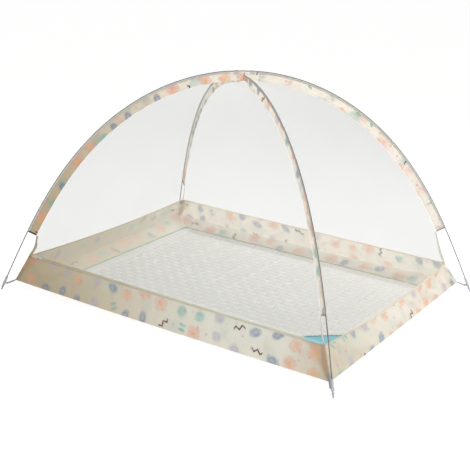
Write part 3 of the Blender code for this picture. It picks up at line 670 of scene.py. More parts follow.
def print_layer(recipe, cloth, ground, finer=1.0, washes=1.0):
    """The scattered garden print: one motif to each cell of a loose grid, its kind, turn and size by
    chance, and small specks between them. finer makes all of it smaller, and washes makes the broad
    washes stronger."""
    paint = colours()
    spread = finer / sizes().motif
    place = recipe.add("ShaderNodeMapping", {"Vector": cloth, "Scale": (spread, spread, spread)}).outputs[0]
    inputs = {"Vector": place, "Scale": 1.0, "Randomness": 0.42}
    cells = recipe.add("ShaderNodeTexVoronoi", inputs, voronoi_dimensions="2D")
    inputs = {0: place, 1: cells.outputs["Position"]}
    offset = recipe.add("ShaderNodeVectorMath", inputs, operation="SUBTRACT")
    chance = recipe.add("ShaderNodeSeparateColor", {0: cells.outputs["Color"]}).outputs
    kind, spin, size = chance[0], chance[1], chance[2]
    angle = recipe.times(spin, 2 * math.pi)
    turned = recipe.add(
        "ShaderNodeVectorRotate", {"Vector": offset.outputs[0], "Angle": angle}, rotation_type="Z_AXIS"
    ).outputs[0]
    x, y, _ = recipe.parts(turned)
    wobble = recipe.times(recipe.less(recipe.noise(place, 5.0, 2.0), 0.5), 0.12)
    reach = recipe.add("ShaderNodeVectorMath", {0: turned}, operation="LENGTH").outputs["Value"]
    reach = recipe.plus(reach, wobble)
    bearing = recipe.sum("ARCTAN2", y, x)
    large = recipe.between(size, 0.0, 1.0, 0.34, 0.44)
    # This noise only fades the printed petals towards the rings' colour
    print_wash_and_painted_shade = recipe.noise(place, 2.6, 3.0)
    pool = recipe.between(recipe.noise(place, 6.5, 3.0), 0.35, 0.65, 0.62, 1.0)

    def chosen(low, high):
        above = recipe.sum("GREATER_THAN", kind, low)
        below = recipe.sum("LESS_THAN", kind, high)
        return recipe.times(above, below)

    def inside(distance, limit, soft=0.05):
        near = recipe.less(distance, limit)
        return recipe.between(near, -soft, 0.0, 1.0, 0.0)

    def paint_on(under, mask, picked, colour, strength):
        share = recipe.times(recipe.times(mask, picked), strength)
        return recipe.blend(recipe.times(share, pool), under, colour)

    def stretched(across, along_it, flattening):
        """The distance from the motif's middle on a scale that makes circles into ovals."""
        wide = recipe.times(recipe.times(across, across), flattening)
        return recipe.sum("SQRT", recipe.plus(wide, recipe.times(along_it, along_it)))

    colour = ground
    # Broad faint washes
    for shift, tone, strength in ((0.0, paint.ring, 0.1 * washes), (7.0, paint.leaf, 0.14 * washes)):
        spot = recipe.add("ShaderNodeVectorMath", {0: place, 1: (shift, shift, 0.0)}).outputs[0]
        patch = recipe.between(recipe.noise(spot, 0.9, 3.0), 0.52, 0.68, 0.0, strength)
        colour = recipe.blend(patch, colour, tone)
    # Flowers with five round petals and a warm heart
    lobes = recipe.sum("ABSOLUTE", recipe.sum("COSINE", recipe.times(bearing, 2.5)))
    edge = recipe.between(recipe.sum("POWER", lobes, 0.45), 0.0, 1.0, 0.7, 1.02, smooth=False)
    edge = recipe.times(large, edge)
    flower = chosen(0.0, 0.32)
    faded = recipe.blend(recipe.between(print_wash_and_painted_shade, 0.35, 0.7), paint.petal, paint.ring)
    colour = paint_on(colour, inside(reach, edge, 0.13), flower, faded, 0.6)
    colour = paint_on(colour, inside(reach, 0.14, 0.09), flower, paint.heart, 0.7)
    # Ovals with a darker core
    oval = chosen(0.32, 0.54)
    long = recipe.plus(stretched(x, y, 2.1), wobble)
    colour = paint_on(colour, inside(long, 0.37, 0.13), oval, paint.oval, 0.6)
    core = recipe.sum("ABSOLUTE", recipe.less(long, 0.16))
    colour = paint_on(colour, inside(core, 0.065, 0.05), oval, paint.core, 0.38)
    # Washes without a shape of their own
    tone = recipe.blend(recipe.sum("GREATER_THAN", size, 0.5), paint.lavender, paint.leaf)
    colour = paint_on(colour, inside(reach, 0.34, 0.22), chosen(0.54, 0.66), tone, 0.75)
    # Rings
    ring_way = recipe.sum("ABSOLUTE", recipe.less(reach, 0.13))
    colour = paint_on(colour, inside(ring_way, 0.075, 0.06), chosen(0.66, 0.7), paint.ring, 0.75)
    # Twigs that zigzag
    step = recipe.sum("PINGPONG", recipe.plus(y, 0.5), 0.16)
    zigzag = recipe.sum("ABSOLUTE", recipe.plus(recipe.less(x, step), 0.08))
    within = inside(recipe.sum("ABSOLUTE", y), 0.3, 0.03)
    stem = recipe.times(inside(zigzag, 0.058, 0.024), within)
    colour = paint_on(colour, stem, chosen(0.7, 0.89), paint.twig, 1.0)
    # Pairs of leaves
    apart = recipe.less(recipe.sum("ABSOLUTE", x), 0.12)
    blades = inside(stretched(apart, y, 5.0), 0.22, 0.09)
    colour = paint_on(colour, blades, chosen(0.89, 1.01), paint.leaf, 0.85)
    # Small soft dots and dark specks between the motifs
    for spacing, rarity, low, high, first, second, strength in (
        (0.052, 0.7, 0.1, 0.19, paint.ring, paint.lavender, 0.6),
        (0.023, 0.6, 0.045, 0.085, paint.twig, paint.leaf, 0.55),
    ):
        fine = recipe.add("ShaderNodeMapping", {"Vector": cloth, "Scale": (1 / spacing,) * 3}).outputs[0]
        inputs = {"Vector": fine, "Scale": 1.0, "Randomness": 1.0}
        specks = recipe.add("ShaderNodeTexVoronoi", inputs, voronoi_dimensions="2D")
        speck_chance = recipe.add("ShaderNodeSeparateColor", {0: specks.outputs["Color"]}).outputs
        seen = recipe.sum("GREATER_THAN", speck_chance[0], rarity)
        dot = recipe.between(specks.outputs["Distance"], low, high, 1.0, 0.0)
        colour = paint_on(colour, dot, seen, recipe.blend(speck_chance[1], first, second), strength)
    # The cloth's reverse: fainter print, and a lighter colour that is partly painted light
    mark = recipe.add("ShaderNodeAttribute", attribute_name="inner", attribute_type="GEOMETRY")
    inner = mark.outputs["Fac"]
    return recipe.blend(recipe.times(inner, 0.6), colour, tint(254, 254, 250))


def mark_inner_faces(obj, out):
    """Tells the print which faces show the cloth's reverse, where its print is fainter and its colour
    lighter, partly painted light.
    """
    mark = obj.data.attributes.new("inner", "FLOAT", "FACE")
    for face in obj.data.polygons:
        mark.data[face.index].value = 1.0 if face.normal.dot(out) < 0.2 else 0.0


def painted_corner_shade(recipe, colour):
    """Painted shade: a warm shade of the folds at the ends of the long walls, wide at the hem and narrow at
    the floor, and a tan shade towards the front left corner and the near one."""
    x, y, z = recipe.parts(recipe.place())
    # Painted shade of the folds at the ends of the long walls, in the corner strips' warm colour
    rise = recipe.between(z, EDGE_HEIGHT, HEM_HEIGHT, smooth=False)
    shrink = recipe.less(1.0, recipe.times(rise, HEM_INSET / HALF_LENGTH))
    from_end = recipe.less(shrink, recipe.sum("ABSOLUTE", x))
    side = recipe.times(shrink, HALF_WIDTH)
    from_side = recipe.less(side, recipe.sum("ABSOLUTE", y))
    reach = recipe.plus(recipe.times(rise, 0.11), 0.012)
    share = recipe.between(recipe.sum("DIVIDE", from_end, reach), 0.45, 1.0, 1.0, 0.0)
    share = recipe.times(share, recipe.between(from_side, 0.004, 0.012, 1.0, 0.0))
    share = recipe.times(share, recipe.between(z, HEM_HEIGHT, HEM_HEIGHT + 0.02, 1.0, 0.0))
    share = recipe.times(share, recipe.between(z, EDGE_HEIGHT - 0.01, EDGE_HEIGHT))
    share = recipe.times(share, recipe.between(y, -0.1, 0.1, 0.7, 0.35))
    colour = recipe.blend(share, colour, colours().gusset)
    # Painted tan shade towards the front left corner and towards the near corner
    toward = recipe.plus(recipe.times(x, -0.8), recipe.times(y, -0.6))
    near = recipe.less(recipe.times(x, 0.8), recipe.times(y, 0.6))
    on_right = recipe.between(recipe.plus(recipe.times(x, 0.75), y), -0.01, 0.02)
    right = recipe.times(recipe.between(near, 0.75, 1.25, 0.0, 0.36), on_right)
    near = recipe.sum("MAXIMUM", recipe.between(near, 0.95, 1.25, 0.0, 0.4), right)
    near = recipe.times(near, recipe.between(z, 0.2, 0.24, 1.0, 0.0))
    share = recipe.sum("MAXIMUM", recipe.between(toward, 0.1, 1.25, 0.05, 0.74), near)
    return recipe.blend(share, colour, colours().print_wash_and_painted_shade)


def cotton_bump(recipe, cloth):
    """The threads of a plain weave over soft creases."""
    threads = recipe.bump(recipe.weave(cloth, 0.0014), 0.00012, 0.6)
    soft = recipe.noise(cloth, 22.0, 3.0, 0.55)
    return recipe.bump(soft, 0.0012, 0.7, threads)


# For each printed cotton: how much finer its print is, how strong its washes, the darkest and lightest
# thread and their pitch, and the share of light that it lets through
COTTONS = {
    "printed cotton": (1.0, 1.0, 0.97, 1.02, 0.0014, 0.64),
    "sleeve cotton": (1.2, 2.5, 0.95, 1.04, 0.006, 0.7),
}


@made_once
def printed(name):
    finer, washes, low, high, pitch, through = COTTONS[name]
    recipe = Recipe(name)
    cloth = recipe.cloth()
    ground = recipe.shade(colours().ground, 0.95, 1.03, recipe.noise(cloth, 9.0, 3.0))
    # The print lies on painted shade of the wall ends' folds and of the front left and near corners
    colour = print_layer(recipe, cloth, painted_corner_shade(recipe, ground), finer, washes)
    # Darker between the threads: painted shade of the weave
    colour = recipe.shade(colour, low, high, recipe.weave(cloth, pitch))
    return recipe.surface(colour, 0.88, cotton_bump(recipe, cloth), sheen=0.15, through=through)


@made_once
def corner_cotton():
    """The corner strips: a warm half towards the long sides, which is painted shade of the fold, and a
    printed half round the corner.
    """
    recipe = Recipe("corner strip cotton")
    cloth = recipe.cloth()
    ground = recipe.shade(colours().ground, 0.96, 1.02, recipe.noise(cloth, 9.0))
    colour = print_layer(recipe, cloth, painted_corner_shade(recipe, ground))
    return recipe.surface(colour, 0.88, cotton_bump(recipe, cloth), sheen=0.15, through=0.45)


def stitched_tape(name, base, rib, stitch_inset, through=0.0, with_painted_shade=False):
    """Ribbed tape with a broken row of stitches along it."""
    recipe = Recipe(name)
    cloth = recipe.cloth()
    x, y, _ = recipe.parts(cloth)
    ribs = recipe.ripple(y, rib)
    # Where asked, the tape gets the same painted shade of the folds and corners as the printed cotton
    base = painted_corner_shade(recipe, base) if with_painted_shade else base
    colour = recipe.shade(base, 0.94, 1.04, recipe.noise(cloth, 60.0, 3.0))
    # Darker between the ribs: painted shade
    colour = recipe.shade(colour, 0.94, 1.03, ribs)
    off_line = recipe.sum("ABSOLUTE", recipe.less(recipe.sum("ABSOLUTE", x), stitch_inset))
    on_line = recipe.between(off_line, 0.0002, 0.0005, 1.0, 0.0)
    dash = recipe.ripple(y, STITCH_PITCH, -0.5, 0.1)
    stitch = recipe.times(on_line, dash)
    colour = recipe.blend(recipe.times(stitch, 0.6), colour, colours().stitch)
    height = recipe.plus(ribs, recipe.times(stitch, 2.0))
    return recipe.surface(colour, 0.85, recipe.bump(height, 0.00025, 0.7), sheen=0.1, through=through)


@made_once
def pole_tape(fold):
    """Tape that is dark over the pole, as far down as fold, and the sleeve's own colour below it."""
    recipe = Recipe("pole tape")
    cloth = recipe.cloth()
    depth, run, _ = recipe.parts(cloth)
    ribs = recipe.ripple(run, 0.0012)
    dark = recipe.shade(colours().channel, 0.86, 1.1, recipe.noise(cloth, 60.0, 3.0))
    leg = recipe.shade(colours().ground, 0.95, 1.02, recipe.noise(cloth, 60.0, 3.0))
    colour = recipe.blend(recipe.between(depth, fold - 0.0005, fold + 0.0005), dark, leg)
    # Darker between the ribs: painted shade
    colour = recipe.shade(colour, 0.92, 1.02, ribs)
    off_line = recipe.sum("ABSOLUTE", recipe.less(depth, 0.0072))
    line = recipe.between(off_line, 0.0002, 0.0005, 1.0, 0.0)
    dash = recipe.ripple(run, STITCH_PITCH, -0.5, 0.1)
    stitch = recipe.times(line, dash)
    colour = recipe.blend(recipe.times(stitch, 0.4), colour, colours().strap)
    height = recipe.plus(ribs, recipe.times(stitch, 2.0))
    return recipe.surface(colour, 0.85, recipe.bump(height, 0.0002, 0.7), sheen=0.1, through=0.25)


@made_once
def hem_tape_cloth():
    return stitched_tape("hem tape cloth", colours().hem, 0.001, 0.0, 0.6, with_painted_shade=True)


@made_once
def pale_tape():
    return stitched_tape("pale tape", (0.96, 0.96, 0.93, 1.0), 0.001, 0.003, 0.6, with_painted_shade=True)


@made_once
def end_binding(warm):
    name = "warm sleeve end" if warm else "cool sleeve end"
    # The left sleeves' bindings take the dark colour, which is painted shade
    return stitched_tape(name, colours().end_warm if warm else colours().painted_shade_end, 0.0011, 0.002)


@made_once
def webbing():
    """Twilled webbing: slanting ridges that meet along its middle."""
    recipe = Recipe("webbing")
    cloth = recipe.cloth()
    x, y, _ = recipe.parts(cloth)
    slant = recipe.plus(y, recipe.sum("ABSOLUTE", x))
    ridge = recipe.ripple(slant, 0.0016)
    colour = recipe.shade(colours().strap, 0.84, 1.1, recipe.noise(cloth, 140.0, 2.0))
    # Darker between the twill ridges: painted shade
    colour = recipe.shade(colour, 0.82, 1.05, ridge)
    return recipe.surface(colour, 0.8, recipe.bump(ridge, 0.0003, 0.8), sheen=0.15)


@made_once
def piping_cloth():
    recipe = Recipe("piping cloth")
    cloth = recipe.cloth()
    x, y, _ = recipe.parts(cloth)
    slant = recipe.plus(y, x)
    ridge = recipe.ripple(slant, 0.0014)
    colour = recipe.shade(colours().piping, 0.88, 1.08, recipe.noise(cloth, 50.0, 3.0))
    return recipe.surface(colour, 0.7, recipe.bump(ridge, 0.0002, 0.7), sheen=0.1)


@made_once
def netting():
    """Fine net: most of it is open, and its threads catch the light on both sides."""
    recipe = Recipe("netting")
    cloth = recipe.cloth()
    x, y, _ = recipe.parts(cloth)
    turn = math.pi / sizes().mesh
    strands = []
    for way in (recipe.plus(x, y), recipe.less(x, y)):
        wave = recipe.sum("ABSOLUTE", recipe.sum("SINE", recipe.times(way, turn * 0.7071)))
        strands.append(recipe.between(wave, 0.0, 0.35, 1.0, 0.0))
    thread = recipe.sum("MAXIMUM", *strands)
    even = recipe.between(recipe.noise(cloth, 3.0, 2.0), 0.3, 0.7, 0.97, 1.03)
    cover = recipe.times(even, sizes().cover)
    share = recipe.times(cover, recipe.between(thread, 0.0, 1.0, 0.9, 1.1, smooth=False))
    colour = recipe.shade(colours().net, 0.97, 1.02, thread)
    # Painted shade that darkens the threads towards the tent's right end, and painted light that lightens
    # them near the crown, which evens the net out as seen from the camera's side
    x, _, z = recipe.parts(recipe.place())
    colour = recipe.shade(colour, 1.05, 0.6, recipe.between(x, -0.7, 0.9))
    colour = recipe.shade(colour, 1.0, 1.2, recipe.between(z, 0.7, 1.2))
    front = recipe.add("ShaderNodeBsdfDiffuse", {"Color": colour, "Roughness": 0.5}).outputs[0]
    back = recipe.add("ShaderNodeBsdfTranslucent", {"Color": colour}).outputs[0]
    clear = recipe.add("ShaderNodeBsdfTransparent").outputs[0]
    return recipe.output(recipe.mix(share, clear, recipe.mix(0.5, front, back)))


@made_once
def quilted_cotton():
    """White cotton pressed in a basket pattern: blocks of ribs that lie along and across in turn."""
    recipe = Recipe("quilted cotton")
    cloth = recipe.cloth()
    side = sizes().quilt
    x, y, _ = recipe.parts(cloth)
    columns = [recipe.sum("DIVIDE", way, side) for way in (x, y)]
    odd = recipe.plus(*[recipe.sum("FLOOR", way) for way in columns])
    odd = recipe.sum("PINGPONG", odd, 1.0)
    ribs, ends = [], []
    for way in columns:
        wave = recipe.sum("ABSOLUTE", recipe.sum("SINE", recipe.times(way, 3 * math.pi)))
        ribs.append(recipe.between(wave, 0.0, 0.5))
        wave = recipe.sum("ABSOLUTE", recipe.sum("SINE", recipe.times(way, math.pi)))
        ends.append(recipe.between(wave, 0.0, 0.3))
    across = recipe.times(recipe.times(ribs[0], ends[1]), odd)
    lengthways = recipe.times(ribs[1], ends[0])
    lengthways = recipe.times(lengthways, recipe.less(1.0, odd))
    height = recipe.plus(across, lengthways)
    colour = recipe.shade(colours().pad, 0.98, 1.01, recipe.noise(cloth, 5.0, 3.0))
    # Darker in the stitched grooves: painted shade
    colour = recipe.shade(colour, 0.8, 1.04, height)
    pressed = recipe.bump(height, 0.002, 0.6)
    normal = recipe.bump(recipe.weave(cloth, 0.0013), 0.0001, 0.5, pressed)
    return recipe.surface(colour, 0.9, normal, sheen=0.2)


@made_once
def coated_floor():
    recipe = Recipe("coated floor cloth")
    cloth = recipe.cloth()
    crinkle = recipe.noise(cloth, 14.0, 4.0, 0.6)
    colour = recipe.shade(colours().floor, 0.9, 1.08, recipe.noise(cloth, 6.0, 3.0))
    # Darker between the threads: painted shade of the weave
    colour = recipe.shade(colour, 0.95, 1.03, recipe.weave(cloth, 0.0025))
    rough = recipe.between(crinkle, 0.3, 0.7, 0.5, 0.68)
    normal = recipe.bump(crinkle, 0.002, 0.6, recipe.bump(recipe.weave(cloth, 0.0025), 0.0001, 0.6))
    return recipe.surface(colour, rough, normal)


@made_once
def glass_fibre():
    recipe = Recipe("glass fibre")
    streak = recipe.noise(recipe.place((40.0, 40.0, 9.0)), 3.0, 4.0, 0.6)
    colour = recipe.shade(colours().rod, 0.82, 1.12, streak)
    normal = recipe.bump(recipe.noise(recipe.place(), 900.0, 2.0), 0.0001, 0.4)
    return recipe.surface(colour, recipe.between(streak, 0.3, 0.7, 0.32, 0.5), normal)


@made_once
def moulded_plastic():
    recipe = Recipe("moulded plastic")
    cloud = recipe.noise(recipe.place(), 60.0, 3.0)
    grain = recipe.noise(recipe.place(), 1800.0, 2.0)
    colour = recipe.shade(colours().foot, 0.95, 1.03, cloud)
    rough = recipe.between(cloud, 0.3, 0.7, 0.38, 0.5)
    return recipe.surface(colour, rough, recipe.bump(grain, 0.00006, 0.5))


@made_once
def zip_plastic():
    recipe = Recipe("zip plastic")
    grain = recipe.noise(recipe.place(), 700.0, 2.0)
    colour = recipe.shade(colours().chain, 0.92, 1.04, grain)
    rough = recipe.between(grain, 0.3, 0.7, 0.34, 0.5)
    return recipe.surface(colour, rough, recipe.bump(grain, 0.00005, 0.5))


@made_once
def zip_metal():
    recipe = Recipe("zip metal")
    brushed = recipe.noise(recipe.place((60.0, 900.0, 900.0)), 2.0, 4.0, 0.6)
    colour = recipe.shade(colours().metal, 0.86, 1.06, brushed)
    rough = recipe.between(brushed, 0.3, 0.7, 0.22, 0.4)
    return recipe.surface(colour, rough, recipe.bump(brushed, 0.00005, 0.5), metallic=1.0)


# Pieces


class NetTentStage(bpy.types.Operator):
    """Adds the camera, the lamps, the white surroundings and the pale floor"""

    bl_idname = "net_tent.stage"
    bl_label = "Stage"

    def execute(self, context):
        self.add_camera(context)
        self.add_floor()
        self.add_surroundings(context)
        self.add_lamp("key lamp", (3.6, -1.6, 4.2), (0.4, 0.0, 0.3), 2.6, 54)
        self.add_lamp("back lamp", (0.7, 2.8, 4.3), (0.3, 0.4, 0.3), 2.2, 74)
        context.scene.view_settings.view_transform = "Standard"
        return {"FINISHED"}

    def add_camera(self, context):
        lens = bpy.data.cameras.new("camera")
        lens.lens = LENS_LENGTH
        lens.sensor_width = 36
        lens.clip_end = 60
        camera = bpy.data.objects.new("camera", lens)
        context.scene.collection.objects.link(camera)
        right = Vector((0.82561919, 0.563745, 0.0233351))
        up = Vector((-0.20393906, 0.25960168, 0.94393635))
        back = Vector((0.52608157, -0.7840909, 0.32930175))
        turn = Matrix((right, up, back)).transposed().to_4x4()
        camera.matrix_world = Matrix.Translation(CAMERA_PLACE) @ turn
        context.scene.camera = camera

    def add_floor(self):
        clear_choice()
        bpy.ops.mesh.primitive_plane_add(size=40, location=(0, 0, 0))
        floor = bpy.context.object
        floor.name = "studio_floor"
        recipe = Recipe("studio floor")
        cloud = recipe.noise(recipe.place(), 0.8, 2.0)
        pale = recipe.shade((0.86, 0.86, 0.86), 0.99, 1.01, cloud)
        plain = recipe.add("ShaderNodeBsdfDiffuse", {"Color": pale}).outputs[0]
        dim = recipe.add("ShaderNodeBsdfDiffuse", {"Color": (0.3, 0.3, 0.3, 1.0)}).outputs[0]
        glow = recipe.add("ShaderNodeEmission", {"Color": (1, 1, 1, 1), "Strength": FLOOR_GLOW}).outputs[0]
        both = recipe.add("ShaderNodeAddShader", {0: dim, 1: glow}).outputs[0]
        floor.data.materials.append(recipe.output(recipe.mix(recipe.straight(), plain, both)))

    def add_surroundings(self, context):
        recipe = Recipe("surroundings", bpy.data.worlds)
        context.scene.world = recipe.material
        inputs = {"Color": (1.0, 0.99, 0.97, 1.0), "Strength": SKY_STRENGTH}
        soft = recipe.add("ShaderNodeBackground", inputs).outputs[0]
        white = recipe.add("ShaderNodeBackground", {"Color": (1.0, 1.0, 1.0, 1.0)}).outputs[0]
        recipe.output(recipe.mix(recipe.straight(), soft, white), "ShaderNodeOutputWorld")

    def add_lamp(self, name, place, target, size, power):
        lamp = bpy.data.lights.new(name, "AREA")
        lamp.shape = "DISK"
        lamp.size = size
        lamp.energy = power
        lamp.spread = math.radians(LAMP_SPREAD)
        lamp.color = (1.0, 0.985, 0.96)
        obj = bpy.data.objects.new(name, lamp)
        bpy.context.scene.collection.objects.link(obj)
        obj.location = place
        obj.rotation_euler = (Vector(target) - Vector(place)).to_track_quat("-Z", "Y").to_euler()


class NetTentPoles(bpy.types.Operator):
    """Gives the two bent poles their glass fibre finish"""

    bl_idname = "net_tent.poles"
    bl_label = "Poles"

    def execute(self, context):
        for name in ("arch_rod_lower", "arch_rod_upper"):
            finish_node(name, glass_fibre())
        return {"FINISHED"}


class NetTentFeet(bpy.types.Operator):
    """Gives the four feet their moulded plastic"""

    bl_idname = "net_tent.feet"
    bl_label = "Feet"

    def execute(self, context):
        for corner in CORNERS:
            finish_node(f"foot_{corner}", moulded_plastic())
        return {"FINISHED"}


def tape_of(corner):
    return pole_tape(TAPE_FOLD[CORNERS[corner][2]])


def fold_profile(cloth, grip):
    """Half a tape folded over the pole with its leg beside the cloth, then the other half."""
    inner = ROD_RADIUS + FIT
    outer = inner + CHANNEL_TAPE
    leg = cloth / 2 + FIT
    low = inner + grip
    turns = [math.radians(12 + 26 * k) for k in range(7)]
    right = [(outer * math.sin(turn), -outer * math.cos(turn)) for turn in turns]
    right = [(x, y) for x, y in right if y < outer * 0.62]
    right += [(leg + CHANNEL_TAPE, outer), (leg + CHANNEL_TAPE, low), (leg, low), (leg, inner)]
    under = [(inner * math.sin(turn), -inner * math.cos(turn)) for turn in reversed(turns)]
    right += [(x, y) for x, y in under if y < outer * 0.62 and x > leg]
    right.append((inner * 0.2, -inner))
    return right + [(-x, y) for x, y in reversed(right)]


class NetTentSleeves(bpy.types.Operator):
    """Hangs the printed sleeves from the poles, with the tape over each pole and the bound ends"""

    bl_idname = "net_tent.sleeves"
    bl_label = "Sleeves"

    def execute(self, context):
        for number, corner in enumerate(CORNERS):
            start, end = sleeve_ends(corner)
            part = part_length(corner)
            bound = END_BINDING / part
            first = start + bound + SEAM / part
            places = places_between(first, end, 5)
            tape = sweep(f"pole_tape_{corner}", corner, places_between(first, end, 2),
                         fold_profile(SLEEVE_CLOTH, 0.006), angle=60)
            finish_piece(tape, tape_of(corner), "tent", "channel_tape", f"rod_channel_{corner}")
            self.sleeve(corner, number, places)
            half = [(END_HALF, END_TOP), (END_HALF, END_ROUNDED[1]), (END_ROUNDED[0], SLEEVE_DEPTH)]
            profile = half + [(-across, depth) for across, depth in reversed(half)]
            ends = [start, start + bound * 0.12, start + bound * 0.88, start + bound]
            end_piece = sweep(f"sleeve_end_band_{corner}", corner, ends, profile)
            # Sleeves on the left get the dark binding colour, which is painted shade
            warm = corner in ("front_right", "back_right")
            finish_piece(end_piece, end_binding(warm), "tent", "dark_binding", f"sleeve_end_{corner}")
        return {"FINISHED"}

    def sleeve(self, corner, number, places):
        arch = arch_of(corner)
        top = ROD_RADIUS + 2 * FIT
        rows = []
        for t in places:
            point, run = along(arch, t)
            down = inward(run)
            deep = sleeve_depth(corner, point.x)
            row = []
            for k in range(11):
                depth = top + (deep - top) * k / 10
                spot = point + down * depth
                loose = max(0.0, min(1.0, (depth - 0.012) / 0.02))
                ends = min(1.0, (t - places[0]) / 0.5, (places[-1] - t) / 0.5)
                sway = 0.0016 * loose * max(0.0, ends) * waver(t * 0.9, depth * 30, number + 1)
                row.append(in_world(corner, spot.x, spot.y, sway))
            rows.append(row)
        facing = in_world(corner, 0, 0, 1.0)
        start = (0.31 * number, 1.7 * number)
        obj = cloth_sheet(f"printed_sleeve_{corner}", rows, start, SLEEVE_CLOTH, facing)
        finish_piece(obj, printed("sleeve cotton"), "tent", "printed_fabric", f"sleeve_{corner}")


class NetTentCrown(bpy.types.Operator):
    """Hangs the cross of cloth at the crown by its four loops"""

    bl_idname = "net_tent.crown"
    bl_label = "Crown"

    def execute(self, context):
        bottom = CROWN_HEIGHT - SLEEVE_DEPTH
        clear = ROD_RADIUS + FIT
        low_top = along(LOWER_ARCH, place_at_reach(LOWER_ARCH, PATCH_REACH))[0].y - clear
        high_top = along(UPPER_ARCH, place_at_reach(UPPER_ARCH, PATCH_REACH))[0].y - clear
        low_end = low_top + clear - sleeve_depth("front_right", PATCH_REACH)

        def upper(reach):
            return bottom, high_top if abs(reach) > CROWN_NOTCH else low_top

        def lower(reach):
            share = max(0.0, abs(reach) / PATCH_REACH - 0.5) * 2
            return bottom + (low_end - bottom) * share, low_top

        patch, long_cut = self.arms("crown_cross", "front_left", upper)
        other, short_cut = self.arms("crown_lower_arms", "front_right", lower)
        union = patch.modifiers.new("Union", "BOOLEAN")
        union.operation = "UNION"
        union.solver = "EXACT"
        union.object = other
        apply_all(patch)
        bpy.data.objects.remove(other, do_unlink=True)
        smooth(patch, SMOOTH_ANGLE)
        finish_piece(patch, printed("sleeve cotton"), "tent", "plain_fabric", "crown_patch")
        # The cross is sewn from two strips, cut end to end from one
        self.filler(CROWN_HEIGHT - LOWER_CROWN_DROP + clear, high_top)
        for name in CORNERS:
            arch = arch_of(name)
            places = places_between(place_at_reach(arch, LOOP_TO), place_at_reach(arch, LOOP_FROM), 4)
            loop = sweep(f"crown_hanger_{name}", name, places, fold_profile(PATCH_CLOTH, 0.012), 60)
            finish_piece(loop, tape_of(name), "tent", "channel_tape", f"crown_loop_{name}")
        return {"FINISHED"}

    def filler(self, low, high):
        """The bit of cloth between the two poles where they cross."""
        half = CROWN_NOTCH - SEAM
        rows = [[in_world("front_left", half * share, low + (high - low) * k / 4) for k in range(5)]
                for share in (-1.0, -0.5, 0.0, 0.5, 1.0)]
        facing = in_world("front_left", 0, 0, 1.0)
        obj = cloth_sheet("crown_filler", rows, (0.4, 0.2), SLEEVE_CLOTH, facing)
        finish_piece(obj, printed("sleeve cotton"), "tent", "plain_fabric")

    def arms(self, name, corner, heights):
        """A strip of cloth through the crown, and the size it is cut to. Its ends follow the cut of the
        sleeves' ends."""
        arch = arch_of(corner)
        point, run = along(arch, place_at_reach(arch, CROWN_REACH))
        down = inward(run)
        rows = []
        notch = CROWN_NOTCH / PATCH_REACH
        half = [notch + SEAM / PATCH_REACH + (1 - notch) * k / 22 for k in range(22)] + [1.0]
        half = [0.0, notch / 2, notch] + [share for share in half if share <= 1.0]
        for share in [-share for share in reversed(half[1:])] + half:
            low, high = heights(share * PATCH_REACH)
            row = []
            for step in range(11):
                height = low + (high - low) * step / 10
                cut = point.x - SEAM + down.x * (point.y - height) / -down.y
                slackness = math.sin(math.pi * step / 10) * (1 - share * share)
                sway = 0.0005 * slackness * waver(share * 5, height * 60, 3)
                row.append(in_world(corner, share * cut, height, sway))
            rows.append(row)
        facing = in_world(corner, 0, 0, 1.0)
        return cloth_sheet(name, rows, thickness=PATCH_CLOTH, facing=facing), cut_size(rows)


def hem_wave(side, spot):
    """How far the hem strays from its straight line, which the zip holds at the front."""
    if side == "front":
        return 0.0
    run = spot.x if side == "back" else spot.y
    return 0.0016 * waver(run * 9, 0.0, len(side)) * min(1.0, slack(side, spot) * 4)


def net_edge(corner, bottom, rows):
    """(reach, height) places of a net panel's edge, from its bottom at the corner up to the crown."""
    arch = arch_of(corner)
    start, _ = sleeve_ends(corner)
    end = place_at_reach(arch, NET_TOP_REACH)
    hem = wall_scale(bottom) * HALF_DIAGONAL
    first = Vector((hem, bottom - hem_drop(in_world(corner, hem, bottom))))
    waist = Vector((WAIST_REACH, WAIST_HEIGHT))
    point, run = along(arch, start)
    sleeve = point + inward(run) * (SLEEVE_DEPTH + NET_DEPTH_GAP)
    edge = []
    for i in range(8):
        share = i / 8
        if share < 0.5:
            edge.append(first.lerp(waist, share * 2))
        else:
            edge.append(waist.lerp(sleeve, share * 2 - 1))
    softened = list(edge)
    for i in (3, 4, 5):
        softened[i] = (edge[i - 1] + edge[i] * 2 + edge[i + 1]) / 4
    edge = [(p.x, p.y) for p in softened]
    for i in range(rows):
        point, run = along(arch, start + (end - start) * i / (rows - 1))
        spot = point + inward(run) * (sleeve_depth(corner, point.x) + NET_DEPTH_GAP)
        edge.append((max(spot.x, NET_TOP_REACH), spot.y))
    return edge


